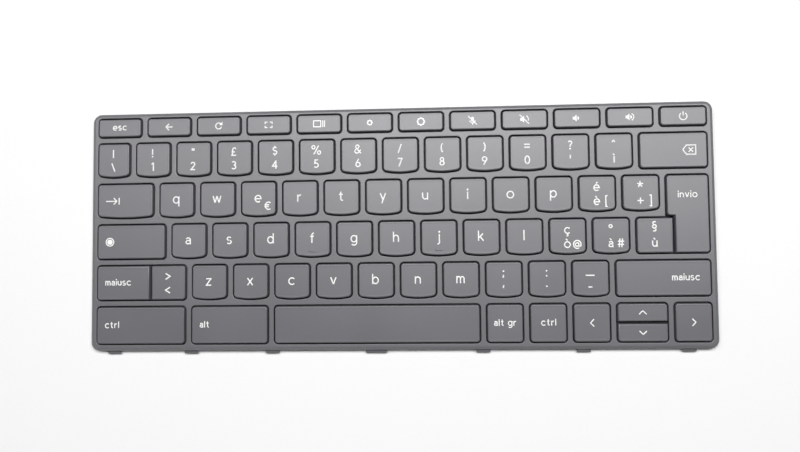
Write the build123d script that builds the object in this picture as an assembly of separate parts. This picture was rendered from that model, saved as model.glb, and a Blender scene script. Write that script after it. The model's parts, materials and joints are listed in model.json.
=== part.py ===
"""Laptop replacement keyboard: a moulded key frame over a base plate, with scissor-guided caps.

Millimetres, +Z up. The origin is under the middle of the part, on the plane that it rests on.
X runs along the key rows, and Y runs from the user's side to the back.
"""

import os
from dataclasses import dataclass
from math import atan, cos, degrees, radians, sin, sqrt

from build123d import *

# Key field: cells are measured from the middle of one rib to the middle of the next
FIELD_WIDTH = 271.1
ROW_PITCH = 18.3
FUNCTION_ROW_DEPTH = 11.15
BOTTOM_ROW_DEPTH = 19.4

# Cells of the keys that aren't one pitch wide, and how far the home row's keys lie past those behind them
BAR_CELL = 17.4
BACKSPACE_CELL = 31.7
TAB_CELL = 28.3
HOME_STAGGER = 5.55
LEFT_SHIFT_CELL = 43.2
LEFT_CTRL_CELL = 42.9
LEFT_ALT_CELL = 37.1
ARROW_CELL = 24.2

# Key frame
RIB_WIDTH = 2.1
WINDOW_CORNER = 1.2
GRID_THICKNESS = 1.6
SIDE_BORDER = 1.55
FRONT_BORDER = 1.55
BACK_BORDER = 0.9
FRAME_CORNER_RADIUS = 3.8
FRAME_EDGE_DROP = 0.8
FRAME_EDGE_RUN = 1.1
RIM_WALL = 1.5
PLATE_LEDGE = 0.6

# Hook tabs on the front edge
TAB_REACH = 1.4
TAB_THICKNESS = 1.0
TAB_HEIGHT = 0.9
TAB_WIDTH = 6.8
WIDE_TAB_WIDTH = 10.0
TAB_SLANT = 0.5
LEFT_TAB_INSETS = (10.0, 45.0, 81.5)
RIGHT_TAB_INSETS = (12.2, 56.8, 99.9)
WIDE_TAB_CENTRE = -9.5

# Posts that carry the grid on the plate
POST_SIZE = 1.4
POSTS_PER_RIB = 6
POST_SPACING = 46.0
POST_CLEARANCE = 0.4

# Key caps
WINDOW_CLEARANCE = 0.4
SPLIT_GAP = 0.6
CAP_HEIGHT = 2.4
CAP_DRAFT = 0.3
CAP_PROUD = 0.9
CAP_WALL = 1.1
CAP_ROOF = 1.0
CAP_BACK_RADIUS = 1.5
CAP_FRONT_RADIUS = 1.9
PLAIN_CAP_RADIUS = 1.5
CHORDS_PER_CORNER = 3
SMILE_SAG = 0.6
CHORDS_PER_BOW = 4
HOMING_BAR_LENGTH = 3.4
HOMING_BAR_WIDTH = 0.5
HOMING_BAR_HEIGHT = 0.25
HOMING_BAR_INSET = 2.2

# Base plate, membrane and key travel
PLATE_THICKNESS = 0.5
PLATE_CLEARANCE = 0.1
MEMBRANE_THICKNESS = 0.3
MEMBRANE_CLEARANCE = 0.4
KEY_TRAVEL = 1.4
BOTTOM_CLEARANCE = 0.4
SCREW_HOLE_RADIUS = 1.1
SCREW_SPACING_X = 222.0
SCREW_ACCESS = 3.4
RIBBON_SLOT_LENGTH = 28.0
RIBBON_SLOT_WIDTH = 2.0

# Rubber domes and scissor links
DOME_SIDES = 6
DOME_FOOT_RADIUS = 2.7
DOME_TOP_RADIUS = 1.7
DOME_CLEARANCE = 0.4
LINK_WIDTH = 1.0
LINK_THICKNESS = 0.7
LINK_SPAN = 9.4
LINK_CLEARANCE = 0.15
FIXED_LINK_SINK = 0.3
LINK_SETS_APART = 46.0
TWO_LINK_SETS_FROM = 60.0

# Keys, row by row
FUNCTION_KEYS = [
    "esc", "back", "reload", "full_screen", "overview", "dim", "bright",
    "mic_off", "mute", "quieter", "louder", "power",
]
NUMBER_KEYS = [*"1234567890", "apostrophe", "i_grave"]
UPPER_KEYS = [*"qwertyuiop", "e_grave", "plus"]
HOME_KEYS = [*"asdfghjkl", "o_grave", "a_grave"]
LOWER_KEYS = [*"zxcvbnm", "comma", "period", "minus"]
HOMING_KEYS = ("f", "j")

# Levels
MEMBRANE_TOP = PLATE_THICKNESS + MEMBRANE_THICKNESS
SKIRT_LEVEL = MEMBRANE_TOP + BOTTOM_CLEARANCE + KEY_TRAVEL
CAP_TOP = SKIRT_LEVEL + CAP_HEIGHT
POCKET_ROOF = CAP_TOP - CAP_ROOF
FRAME_TOP = CAP_TOP - CAP_PROUD
GRID_UNDERSIDE = FRAME_TOP - GRID_THICKNESS

# Overall plan
FIELD_DEPTH = FUNCTION_ROW_DEPTH + 4 * ROW_PITCH + BOTTOM_ROW_DEPTH
FRAME_WIDTH = FIELD_WIDTH + 2 * SIDE_BORDER
FRAME_DEPTH = FIELD_DEPTH + FRONT_BORDER + BACK_BORDER
FRAME_FRONT = -(FRAME_DEPTH + TAB_REACH) / 2 + TAB_REACH
FRAME_MIDDLE = FRAME_FRONT + FRAME_DEPTH / 2
FIELD_FRONT = FRAME_FRONT + FRONT_BORDER
KEY_PITCH = (FIELD_WIDTH - BAR_CELL - BACKSPACE_CELL) / len(NUMBER_KEYS)
FIELD_LEFT = -FIELD_WIDTH / 2
FIELD_RIGHT = FIELD_WIDTH / 2

# Cell lines between rows, from the front to the back
ROW_LINES = [FIELD_FRONT]
for row_depth in (BOTTOM_ROW_DEPTH, ROW_PITCH, ROW_PITCH, ROW_PITCH, ROW_PITCH, FUNCTION_ROW_DEPTH):
    ROW_LINES.append(ROW_LINES[-1] + row_depth)
BOTTOM, LOWER, HOME, UPPER, NUMBER, FUNCTION = range(6)

# Corners of an outline, anticlockwise from the right back one
RIGHT_BACK, LEFT_BACK, LEFT_FRONT, RIGHT_FRONT = range(4)
RIGHT_CORNERS = (RIGHT_BACK, RIGHT_FRONT)
LEFT_CORNERS = (LEFT_BACK, LEFT_FRONT)
BACK_CORNERS = (RIGHT_BACK, LEFT_BACK)
FRONT_CORNERS = (LEFT_FRONT, RIGHT_FRONT)

UP = (0, 0, 1)
QUARTER_TURN = 90
CORNER_CUT = 2 - sqrt(2)
CAP_INSET = RIB_WIDTH / 2 + WINDOW_CLEARANCE
UNIT_CAP = KEY_PITCH - 2 * CAP_INSET


@dataclass
class Area:
    """A rectangle on the key field, how far its front edge bows outwards, and which corners are square."""

    left: float
    front: float
    right: float
    back: float
    sag: float = 0.0
    square: tuple = ()

    @property
    def centre(self):
        return (self.left + self.right) / 2, (self.front + self.back) / 2

    @property
    def width(self):
        return self.right - self.left

    @property
    def depth(self):
        return self.back - self.front

    def inset(self, amount):
        return Area(
            self.left + amount, self.front + amount, self.right - amount, self.back - amount, self.sag
        )


def row_cells(row, widths, smiling=()):
    """The cells of one row, laid from the left. The key with no width of its own takes up the rest."""
    rest = FIELD_WIDTH - sum(width for width in widths.values() if width)
    cells, left = {}, FIELD_LEFT
    for name, width in widths.items():
        right = left + (width or rest)
        sag = SMILE_SAG if name in smiling else 0.0
        cells[name] = Area(left, ROW_LINES[row], right, ROW_LINES[row + 1], sag)
        left = right
    return cells


def unit_row(row, first, first_cell, units, last, first_smiles=False):
    """A letter row: one key of its own width, a run of unit keys and a last key."""
    smiling = [first, *units] if first_smiles else units
    return row_cells(row, {first: first_cell, **dict.fromkeys(units, KEY_PITCH), last: None}, smiling)


BOTTOM_CELLS = {
    "left_ctrl": LEFT_CTRL_CELL,
    "left_alt": LEFT_ALT_CELL,
    "space": None,
    "right_alt": KEY_PITCH,
    "right_ctrl": KEY_PITCH,
    "left": KEY_PITCH,
    "arrows": ARROW_CELL,
    "right": KEY_PITCH,
}

CELLS = {
    **row_cells(FUNCTION, dict.fromkeys(FUNCTION_KEYS, FIELD_WIDTH / len(FUNCTION_KEYS))),
    **unit_row(NUMBER, "bar", BAR_CELL, NUMBER_KEYS, "backspace", first_smiles=True),
    **unit_row(UPPER, "tab", TAB_CELL, UPPER_KEYS, "enter", first_smiles=True),
    **unit_row(HOME, "launcher", TAB_CELL + HOME_STAGGER, HOME_KEYS, "u_grave"),
    **unit_row(LOWER, "left_shift", LEFT_SHIFT_CELL, LOWER_KEYS, "right_shift"),
    **row_cells(BOTTOM, BOTTOM_CELLS),
}

WINDOWS = {name: cell.inset(RIB_WIDTH / 2) for name, cell in CELLS.items()}
CAPS = {name: cell.inset(CAP_INSET) for name, cell in CELLS.items()}

# Left shift shares its window with the unit key on its right. Caps are square where they meet.
pair = CAPS["left_shift"]
meeting = pair.right - UNIT_CAP
CAPS["less"] = Area(meeting, pair.front, pair.right, pair.back, square=LEFT_CORNERS)
CAPS["left_shift"] = Area(pair.left, pair.front, meeting - SPLIT_GAP, pair.back, square=RIGHT_CORNERS)

# The up and down arrows share one window, one behind the other
stack = CAPS.pop("arrows")
half_depth = (stack.depth - SPLIT_GAP) / 2
CAPS["up"] = Area(stack.left, stack.back - half_depth, stack.right, stack.back, square=FRONT_CORNERS)
CAPS["down"] = Area(stack.left, stack.front, stack.right, stack.front + half_depth, square=BACK_CORNERS)

# Enter turns the corner of the unit key beside it, in one L-shaped window
corner = CAPS["u_grave"]
meeting = corner.left + UNIT_CAP
CAPS["u_grave"] = Area(corner.left, corner.front, meeting, corner.back, square=RIGHT_CORNERS)
column = CAPS["enter"]
ENTER_HEAD = Area(column.left, corner.back + SPLIT_GAP, column.right, column.back)
ENTER_STEM = Area(meeting + SPLIT_GAP, corner.front, column.right, column.back)
ENTER_WINDOW = WINDOWS.pop("enter")
CAPS["enter"] = ENTER_STEM

BOTTOM_FIXED_KEYS = [name for name in BOTTOM_CELLS if name in CAPS and name != "space"]
FIXED_KEYS = [*FUNCTION_KEYS, *BOTTOM_FIXED_KEYS, "up", "down"]
MOVING_KEYS = [name for name in CAPS if name not in FIXED_KEYS]


def corner_points(x, y, corner, radius, chords):
    """Points round the corner at x, y, anticlockwise."""
    centre_x = x - radius if corner in RIGHT_CORNERS else x + radius
    centre_y = y - radius if corner in BACK_CORNERS else y + radius
    turns = [radians(QUARTER_TURN * (corner + step / chords)) for step in range(chords + 1)]
    return [(centre_x + radius * cos(turn), centre_y + radius * sin(turn)) for turn in turns]


def bow_points(start, end, sag):
    """Points between two corners, along an edge that sags in a shallow parabola."""
    shares = [number / CHORDS_PER_BOW for number in range(1, CHORDS_PER_BOW)]
    return [
        (start[0] + share * (end[0] - start[0]), start[1] - 4 * sag * share * (1 - share))
        for share in shares
    ]


def outline(area, back_radius, front_radius, chords):
    """An area with its corners rounded in chords and its front edge bowed outwards by its sag."""
    ends = area.front + area.sag
    corners = {
        RIGHT_FRONT: (area.right, ends, front_radius),
        RIGHT_BACK: (area.right, area.back, back_radius),
        LEFT_BACK: (area.left, area.back, back_radius),
        LEFT_FRONT: (area.left, ends, front_radius),
    }
    points = []
    for corner, (x, y, radius) in corners.items():
        points += [(x, y)] if corner in area.square else corner_points(x, y, corner, radius, chords)
    if area.sag:
        points += bow_points(points[-1], points[0], area.sag)
    return make_face(Polyline(*points, close=True))


def window_face(area):
    """A window, with its corners cut off along one chord."""
    return outline(area, WINDOW_CORNER, WINDOW_CORNER, 1)


def enter_window_face():
    """The window of enter and the unit key beside it: the home row's cell and enter's column."""
    column = Area(ENTER_WINDOW.left, WINDOWS["u_grave"].front, ENTER_WINDOW.right, ENTER_WINDOW.back)
    return window_face(column) + window_face(WINDOWS["u_grave"])


def inner_plan(inset):
    """A plan inside the frame's outline, with its corners cut straight, inset from the rounded ones."""
    width, depth = FRAME_WIDTH / 2 - inset, FRAME_DEPTH / 2 - inset
    cut = CORNER_CUT * (FRAME_CORNER_RADIUS - inset)
    area = Area(-width, FRAME_MIDDLE - depth, width, FRAME_MIDDLE + depth)
    return outline(area, cut, cut, 1)


def slab(face, low, high):
    """A flat face raised from one level to another."""
    return Pos(0, 0, low) * extrude(face, amount=high - low, dir=UP)


def post_places():
    """Where the posts stand: along the ribs in front of the number row and the home row."""
    first = -POST_SPACING * (POSTS_PER_RIB - 1) / 2
    return [
        (first + POST_SPACING * number, ROW_LINES[row])
        for row in (NUMBER, HOME)
        for number in range(POSTS_PER_RIB)
    ]


def screw_places():
    """The four screw holes, under the ribs at the front of the lower row and of the number row."""
    return [
        (side * SCREW_SPACING_X / 2, ROW_LINES[row])
        for side in (-1, 1)
        for row in (LOWER, NUMBER)
    ]


def tab_centres():
    """Where the narrow tabs sit, measured in from the frame's two sides."""
    side = FRAME_WIDTH / 2
    return [inset - side for inset in LEFT_TAB_INSETS] + [side - inset for inset in RIGHT_TAB_INSETS]


def hook_tab(centre, width):
    """A tapered tab on the front edge, which hooks under the palm rest."""
    root, tip = FRAME_FRONT + RIM_WALL / 2, FRAME_FRONT - TAB_REACH
    half = width / 2
    with BuildSketch() as sketch:
        with BuildLine():
            Polyline(
                (centre + half, root),
                (centre - half, root),
                (centre - half, FRAME_FRONT),
                (centre - half + TAB_SLANT, tip),
                (centre + half - TAB_SLANT, tip),
                (centre + half, FRAME_FRONT),
                close=True,
            )
        make_face()
    return slab(sketch.sketch, TAB_HEIGHT, TAB_HEIGHT + TAB_THICKNESS)


def key_frame():
    """The moulded frame: a rounded rim, a grid of windows, posts under the grid and the hook tabs."""
    plan = Pos(0, FRAME_MIDDLE) * RectangleRounded(FRAME_WIDTH, FRAME_DEPTH, FRAME_CORNER_RADIUS)
    frame = slab(plan, 0, FRAME_TOP)
    top = frame.faces().sort_by(Axis.Z)[-1]
    frame = chamfer(top.edges(), FRAME_EDGE_RUN, FRAME_EDGE_DROP, reference=top)
    frame -= slab(inner_plan(RIM_WALL), 0, GRID_UNDERSIDE)
    frame -= slab(inner_plan(RIM_WALL - PLATE_LEDGE), 0, PLATE_THICKNESS)
    faces = [window_face(area) for name, area in WINDOWS.items() if name != "u_grave"]
    faces.append(enter_window_face())
    frame -= [slab(face, GRID_UNDERSIDE, FRAME_TOP) for face in faces]
    post = Rectangle(POST_SIZE, POST_SIZE)
    frame += [slab(Pos(*place) * post, PLATE_THICKNESS, GRID_UNDERSIDE) for place in post_places()]
    frame += [hook_tab(centre, TAB_WIDTH) for centre in tab_centres()]
    return frame + hook_tab(WIDE_TAB_CENTRE, WIDE_TAB_WIDTH)


def base_plate():
    """The metal plate in the frame's rebate, with screw holes and the ribbon's slot."""
    plan = inner_plan(RIM_WALL - PLATE_LEDGE + PLATE_CLEARANCE)
    plan -= [Pos(*place) * Circle(SCREW_HOLE_RADIUS) for place in screw_places()]
    plan -= Pos(0, ROW_LINES[NUMBER]) * Rectangle(RIBBON_SLOT_LENGTH, RIBBON_SLOT_WIDTH)
    return slab(plan, 0, PLATE_THICKNESS)


def link(centre, side, gap_below_roof):
    """One flat bar of a scissor pair, rising towards its own side."""
    x, y = centre
    low = MEMBRANE_TOP
    high = POCKET_ROOF - gap_below_roof
    half = LINK_SPAN / 2
    with BuildSketch(Plane.XZ) as sketch:
        with BuildLine():
            Polyline(
                (-side * half, low),
                (side * half, high - LINK_THICKNESS),
                (side * half, high),
                (-side * half, low + LINK_THICKNESS),
                close=True,
            )
        make_face()
    return Pos(x, y) * extrude(sketch.sketch, amount=LINK_WIDTH / 2, both=True)


def pocket_area(cap):
    """The hollow under a cap, inside its walls."""
    return Area(
        cap.left + CAP_WALL, cap.front + cap.sag + CAP_WALL, cap.right - CAP_WALL, cap.back - CAP_WALL
    )


def link_offset(cap):
    """How far a cap's links stand from its middle, front and back."""
    return pocket_area(cap).depth / 2 - LINK_WIDTH / 2 - LINK_CLEARANCE


def link_centres(cap):
    """Where a cap's scissor pairs stand: one in the middle, or two under a long bar."""
    x, y = pocket_area(cap).centre
    if cap.width < TWO_LINK_SETS_FROM:
        return [(x, y)]
    return [(x - LINK_SETS_APART / 2, y), (x + LINK_SETS_APART / 2, y)]


def scissor(cap, gap_below_roof):
    """The crossing bars under one cap."""
    step = link_offset(cap)
    return [
        link((x, y + side * step), side, gap_below_roof)
        for x, y in link_centres(cap)
        for side in (-1, 1)
    ]


def dome(cap):
    """A rubber dome from the membrane up to the roof of its cap's pocket."""
    x, y = pocket_area(cap).centre
    room = link_offset(cap) - LINK_WIDTH / 2 - DOME_CLEARANCE
    foot = min(DOME_FOOT_RADIUS, room)
    top = min(DOME_TOP_RADIUS, room / 2)
    height = POCKET_ROOF - MEMBRANE_TOP
    taper = degrees(atan((foot - top) / height))
    face = Pos(x, y, MEMBRANE_TOP) * RegularPolygon(foot, DOME_SIDES, major_radius=False)
    return extrude(face, amount=height, taper=taper)


def membrane():
    """The switch sheet, with clearance round the posts and screws, and the domes that stand on it."""
    plan = inner_plan(RIM_WALL + MEMBRANE_CLEARANCE)
    hole = POST_SIZE + 2 * POST_CLEARANCE
    plan -= [Pos(*place) * Rectangle(hole, hole) for place in post_places()]
    plan -= [Pos(*place) * Rectangle(SCREW_ACCESS, SCREW_ACCESS) for place in screw_places()]
    sheet = slab(plan, PLATE_THICKNESS, MEMBRANE_TOP)
    return Compound(children=[sheet, *[dome(cap) for cap in CAPS.values()]])


def cap_on(face, pocket):
    """A tapered cap on its foot outline, hollowed from below."""
    taper = degrees(atan(CAP_DRAFT / CAP_HEIGHT))
    body = Pos(0, 0, SKIRT_LEVEL) * extrude(face, amount=CAP_HEIGHT, taper=taper)
    hollow = Pos(*pocket.centre) * Rectangle(pocket.width, pocket.depth)
    return body - slab(hollow, SKIRT_LEVEL, POCKET_ROOF)


def homing_bar(cap):
    """The raised bar near the front of a cap that the fingers find by touch."""
    x = cap.centre[0]
    y = cap.front + CAP_DRAFT + HOMING_BAR_INSET
    bar = Pos(x, y) * Rectangle(HOMING_BAR_LENGTH, HOMING_BAR_WIDTH)
    return slab(bar, CAP_TOP, CAP_TOP + HOMING_BAR_HEIGHT)


def enter_cap():
    """The L-shaped cap: a head that reaches over the unit key beside its stem."""
    head, stem = ENTER_HEAD, ENTER_STEM
    rounding = PLAIN_CAP_RADIUS, CHORDS_PER_CORNER
    points = [
        *corner_points(head.right, head.back, RIGHT_BACK, *rounding),
        *corner_points(head.left, head.back, LEFT_BACK, *rounding),
        *corner_points(head.left, head.front, LEFT_FRONT, *rounding),
        (stem.left, head.front),
        (stem.left, stem.front),
        *corner_points(stem.right, stem.front, RIGHT_FRONT, *rounding),
    ]
    return cap_on(make_face(Polyline(*points, close=True)), pocket_area(stem))


def key_cap(name):
    """One cap, by its key's name."""
    cap = CAPS[name]
    if name == "enter":
        return enter_cap()
    back_radius, front_radius = PLAIN_CAP_RADIUS, PLAIN_CAP_RADIUS
    if cap.sag:
        back_radius, front_radius = CAP_BACK_RADIUS, CAP_FRONT_RADIUS
    face = outline(cap, back_radius, front_radius, CHORDS_PER_CORNER)
    solid = cap_on(face, pocket_area(cap))
    if name in HOMING_KEYS:
        solid += homing_bar(cap)
    return solid


def fixed_keys():
    """The function, modifier and arrow caps, each joined to its own scissor bars."""
    keys = [key_cap(name) + scissor(CAPS[name], -FIXED_LINK_SINK) for name in FIXED_KEYS]
    return Compound(children=keys)


def scissor_links():
    """The scissor bars of the moving keys."""
    bars = [bar for name in MOVING_KEYS for bar in scissor(CAPS[name], LINK_CLEARANCE)]
    return Compound(children=bars)


NODES = {
    "key_frame": key_frame(),
    "base_plate": base_plate(),
    "membrane": membrane(),
    "scissor_links": scissor_links(),
    "fixed_keys": fixed_keys(),
    **{f"key_{name}": key_cap(name) for name in MOVING_KEYS},
}

os.makedirs("parts", exist_ok=True)
for node, shape in NODES.items():
    export_step(shape, f"parts/{node}.step")
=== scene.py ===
"""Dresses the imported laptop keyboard: a moulded frame, printed caps and the works under the keys.

Sizes are millimetres, and MM turns them into the scene's metres. Places are read from the frame.
"""

import json
from math import atan2, cos, hypot, pi, radians, sin
from typing import NamedTuple

import bmesh
import bpy
from bpy.props import FloatProperty, FloatVectorProperty, IntProperty, PointerProperty
from bpy.types import NodeSocket, Operator, Panel, PropertyGroup
from mathutils import Matrix, Vector


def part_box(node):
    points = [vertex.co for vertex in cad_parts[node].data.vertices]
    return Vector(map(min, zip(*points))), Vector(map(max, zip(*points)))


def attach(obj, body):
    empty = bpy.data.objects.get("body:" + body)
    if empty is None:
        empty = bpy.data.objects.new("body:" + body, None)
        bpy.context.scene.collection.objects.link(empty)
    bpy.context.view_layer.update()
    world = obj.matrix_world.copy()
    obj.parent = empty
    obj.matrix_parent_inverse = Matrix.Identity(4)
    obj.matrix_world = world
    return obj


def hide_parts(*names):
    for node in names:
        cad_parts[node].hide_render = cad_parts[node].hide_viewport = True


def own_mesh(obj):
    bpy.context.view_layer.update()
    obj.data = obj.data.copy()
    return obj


bl_info = {
    "name": "Laptop Keyboard",
    "version": (1, 0, 0),
    "blender": (4, 5, 0),
    "location": "3D View > Sidebar > Keyboard",
    "description": "Builds the looks of a laptop replacement keyboard on its packed frame",
    "category": "Object",
}

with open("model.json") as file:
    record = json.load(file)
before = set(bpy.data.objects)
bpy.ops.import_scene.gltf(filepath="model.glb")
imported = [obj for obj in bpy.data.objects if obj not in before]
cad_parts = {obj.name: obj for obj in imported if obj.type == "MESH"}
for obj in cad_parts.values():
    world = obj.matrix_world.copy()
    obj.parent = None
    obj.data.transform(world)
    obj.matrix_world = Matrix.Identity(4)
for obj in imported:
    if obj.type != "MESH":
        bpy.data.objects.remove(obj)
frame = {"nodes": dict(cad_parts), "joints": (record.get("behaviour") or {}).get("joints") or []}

MM = 0.001
TOUCHING = 0.001


# What the frame says


class Area(NamedTuple):
    """A rectangle on the key field, in millimetres."""

    left: float
    front: float
    right: float
    back: float

    @property
    def centre(self):
        return (self.left + self.right) / 2, (self.front + self.back) / 2

    def grown(self, amount):
        return Area(self.left - amount, self.front - amount, self.right + amount, self.back + amount)

    def joined(self, other):
        return Area(
            min(self.left, other.left),
            min(self.front, other.front),
            max(self.right, other.right),
            max(self.back, other.back),
        )

    def holds(self, x, y):
        return self.left < x < self.right and self.front < y < self.back


def area_of(points):
    """The area that some points span."""
    xs, ys = [point[0] for point in points], [point[1] for point in points]
    return Area(min(xs), min(ys), max(xs), max(ys))


def merged(node):
    """A node's mesh with its loose triangles joined, for reading only."""
    solids = bmesh.new()
    solids.from_mesh(frame["nodes"][node].data)
    bmesh.ops.remove_doubles(solids, verts=solids.verts, dist=TOUCHING * MM)
    return solids


def node_points(node):
    """A node's corner points, in millimetres."""
    return [vert.co / MM for vert in frame["nodes"][node].data.vertices]


def islands(node):
    """The corner points of each separate solid in a node, in millimetres."""
    solids = merged(node)
    waiting, found = set(solids.verts), []
    while waiting:
        reached, island = [waiting.pop()], []
        while reached:
            vert = reached.pop()
            island.append(vert.co / MM)
            near = {edge.other_vert(vert) for edge in vert.link_edges} & waiting
            waiting -= near
            reached += near
        found.append(island)
    solids.free()
    return found


def edge_loops(node, level):
    """The outlines of a node's flat side at a level, in millimetres, the outer one first."""
    solids = merged(node)
    flat = {
        face
        for face in solids.faces
        if all(abs(vert.co.z / MM - level) < TOUCHING for vert in face.verts)
    }
    edges = {edge for face in flat for edge in face.edges if len(flat & set(edge.link_faces)) == 1}
    loops = []
    while edges:
        edge = edges.pop()
        start, vert = edge.verts
        loop = [start.co.xy / MM]
        while vert is not start:
            loop.append(vert.co.xy / MM)
            edge = next(other for other in vert.link_edges if other in edges)
            edges.discard(edge)
            vert = edge.other_vert(vert)
        loops.append(loop)
    solids.free()
    return sorted(loops, key=lambda loop: area_of(loop).left - area_of(loop).right)


# Keys, by the names of their nodes, and the fused ones from left to right
MOVING_KEYS = [joint["child"].removeprefix("key_") for joint in frame["joints"]]
FUNCTION_KEYS = (
    "esc", "back", "reload", "full_screen", "overview", "dim", "bright",
    "mic_off", "mute", "quieter", "louder", "power",
)
BOTTOM_FIXED_KEYS = ("left_ctrl", "left_alt", "right_alt", "right_ctrl", "left", "up", "down", "right")
FIXED_KEYS = FUNCTION_KEYS + BOTTOM_FIXED_KEYS
LETTERS = "qwertyuiopasdfghjklzxcvbnm"
BOWED_KEYS = (
    *LETTERS, *"1234567890", "bar", "apostrophe", "i_grave", "e_grave", "plus",
    "o_grave", "a_grave", "comma", "period", "minus", "tab",
)
HOMING_KEYS = ("f", "j")

AREAS = {name: area_of(node_points(f"key_{name}")) for name in MOVING_KEYS}
fixed_areas = sorted(
    (area_of(points) for points in islands("fixed_keys")),
    key=lambda area: (round(area.left), -area.front),
)
behind = [area for area in fixed_areas if area.front > AREAS["1"].back]
before = [area for area in fixed_areas if area.back < AREAS["z"].front]
AREAS.update(zip(FIXED_KEYS, behind + before))

# Levels and sizes read from one plain cap
CAP_LEVELS = sorted({round(point.z, 2) for point in node_points("key_tab")})
SKIRT_LEVEL, POCKET_ROOF, CAP_TOP = CAP_LEVELS
TOP_AREA = area_of([point for point in node_points("key_tab") if abs(point.z - CAP_TOP) < TOUCHING])
CAP_DRAFT = TOP_AREA.left - AREAS["tab"].left
SPLIT_GAP = AREAS["less"].left - AREAS["left_shift"].right

# The frame's own outline, without the tabs in its lower half, and its two layers below
FRAME_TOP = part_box("key_frame")[1].z / MM
RIM = area_of([point for point in node_points("key_frame") if point.z > FRAME_TOP / 2])
PLATE_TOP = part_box("base_plate")[1].z / MM
SHEET_LOOPS = edge_loops("membrane", PLATE_TOP)
PLATE_LOOPS = edge_loops("base_plate", 0.0)
DOME_ISLANDS = [
    points
    for points in islands("membrane")
    if min(point.z for point in points) > PLATE_TOP + TOUCHING
]
SHEET_TOP = min(point.z for point in DOME_ISLANDS[0])


# Settings


def linear(colour):
    """An sRGB hex colour as linear red, green, blue and alpha."""
    channels = [int(colour[place : place + 2], 16) / 255 for place in (1, 3, 5)]
    bright = [c / 12.92 if c <= 0.04045 else ((c + 0.055) / 1.055) ** 2.4 for c in channels]
    return (*bright, 1.0)


def length(name, description, millimetres):
    """A length that a user may change."""
    return FloatProperty(
        name=name, description=description, default=millimetres * MM, unit="LENGTH", precision=5
    )


def place(name, description, millimetres):
    """A place that a user may change."""
    return FloatVectorProperty(
        name=name,
        description=description,
        default=[along * MM for along in millimetres],
        subtype="TRANSLATION",
        unit="LENGTH",
    )


def colour(name, description, value):
    """A colour that a user may change."""
    return FloatVectorProperty(
        name=name, description=description, default=linear(value), subtype="COLOR", size=4, min=0, max=1
    )


def power(name, description, watts):
    """A lamp's power that a user may change."""
    return FloatProperty(name=name, description=description, default=watts, unit="POWER")


class CapSettings(PropertyGroup):
    """How the key caps are shaped and coloured."""

    wall: length("Wall", "Thickness of a cap's skirt", 1.1)
    edge_round: length("Edge round", "Radius along the edge of a cap's top", 0.4)
    dish_depth: length("Dish depth", "How far the middle of a cap lies below its edge", 0.05)
    dish_run: length("Dish run", "Width of the slope round a cap's middle", 0.45)
    corner: length("Corner", "Corner radius of a straight cap", 1.5)
    back_corner: length("Back corner", "Back corner radius of a bowed cap", 1.5)
    front_corner: length("Front corner", "Front corner radius of a bowed cap", 1.9)
    bow: length("Bow", "How far the front edge of a letter cap bows outwards", 0.6)
    colour: colour("Cap colour", "Colour of the cap plastic", "#616065")


class FrameSettings(PropertyGroup):
    """How the moulded frame is shaped and coloured."""

    clearance: length("Clearance", "Gap between a cap's foot and its window", 0.4)
    grid_thickness: length("Grid thickness", "Thickness of the ribs between the keys", 1.6)
    window_edge: length("Window edge", "Radius along the edge of a window", 0.22)
    rim_corner: length("Rim corner", "Corner radius of the frame's outline", 3.8)
    rim_run: length("Rim run", "Width of the slope along the outer edge", 1.1)
    rim_drop: length("Rim drop", "Height of the slope along the outer edge", 0.8)
    rim_ease: length("Rim ease", "How far the two ends of that slope are rounded", 0.2)
    rim_wall: length("Rim wall", "Thickness of the outer wall", 1.5)
    plate_seat: length("Plate seat", "Width of the rebate that the base plate lies in", 0.9)
    tab_slant: length("Tab slant", "How much a hook tab narrows on each side", 0.5)
    post_gap: length("Post gap", "Gap between a post and its hole in the sheet", 0.4)
    colour: colour("Frame colour", "Colour of the frame plastic", "#666569")
    plate_colour: colour("Plate colour", "Colour of the aluminium plate", "#b9bbbd")
    # The plate's upper side is painted dark: painted shade for the gaps between the caps.
    coat_colour: colour("Coat colour", "Colour of the coat on the plate's upper side", "#232426")


class LegendSettings(PropertyGroup):
    """How the legends are drawn."""

    letter: length("Letter", "Height of a small letter x on a letter key", 3.15)
    figure: length("Figure", "Height of a small letter x among paired symbols", 2.7)
    word: length("Word", "Height of a small letter x in a word", 2.0)
    lift: length("Lift", "How far a letter lies behind the middle of its cap", 0.15)
    slip: length("Slip", "How far the print sits to the left of its cap's middle", 0.25)
    stroke: length("Stroke", "Width of a letter's stroke", 0.56)
    word_stroke: length("Word stroke", "Width of a stroke in a word", 0.46)
    sign_stroke: length("Sign stroke", "Width of a line in a sign", 0.49)
    ink: length("Ink", "Thickness of the printed ink", 0.04)
    spread: length("Spread", "Distance of paired symbols from the middle of their cap", 3.05)
    third: length("Third symbol", "Distance of a third symbol to the right of the middle", 4.2)
    margin: length("Margin", "Distance of a word or sign from the left side of its cap", 4.0)
    right_margin: length("Right margin", "Distance of a word or sign from the right side of its cap", 5.0)
    colour: colour("Ink colour", "Colour of the printed ink", "#f7f7f5")


class WorksSettings(PropertyGroup):
    """How the domes, links and switch sheet are shaped and coloured."""

    link_width: length("Link width", "Width of a scissor bar", 1.0)
    link_thickness: length("Link thickness", "Thickness of a scissor bar", 0.7)
    link_clearance: length("Link clearance", "Gap between a scissor bar and its cap", 0.15)
    dome_sides: IntProperty(name="Dome sides", description="Sides of a rubber dome", default=20, min=6)
    lance_length: length("Lance length", "Length of a pressed slot in the plate", 1.8)
    lance_width: length("Lance width", "Width of a pressed slot in the plate", 0.7)
    rubber_colour: colour("Rubber colour", "Colour of the silicone domes", "#c9c6bd")
    link_colour: colour("Link colour", "Colour of the scissor links", "#d9d8d2")
    sheet_colour: colour("Sheet colour", "Colour of the switch sheet", "#2b2f2d")


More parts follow.
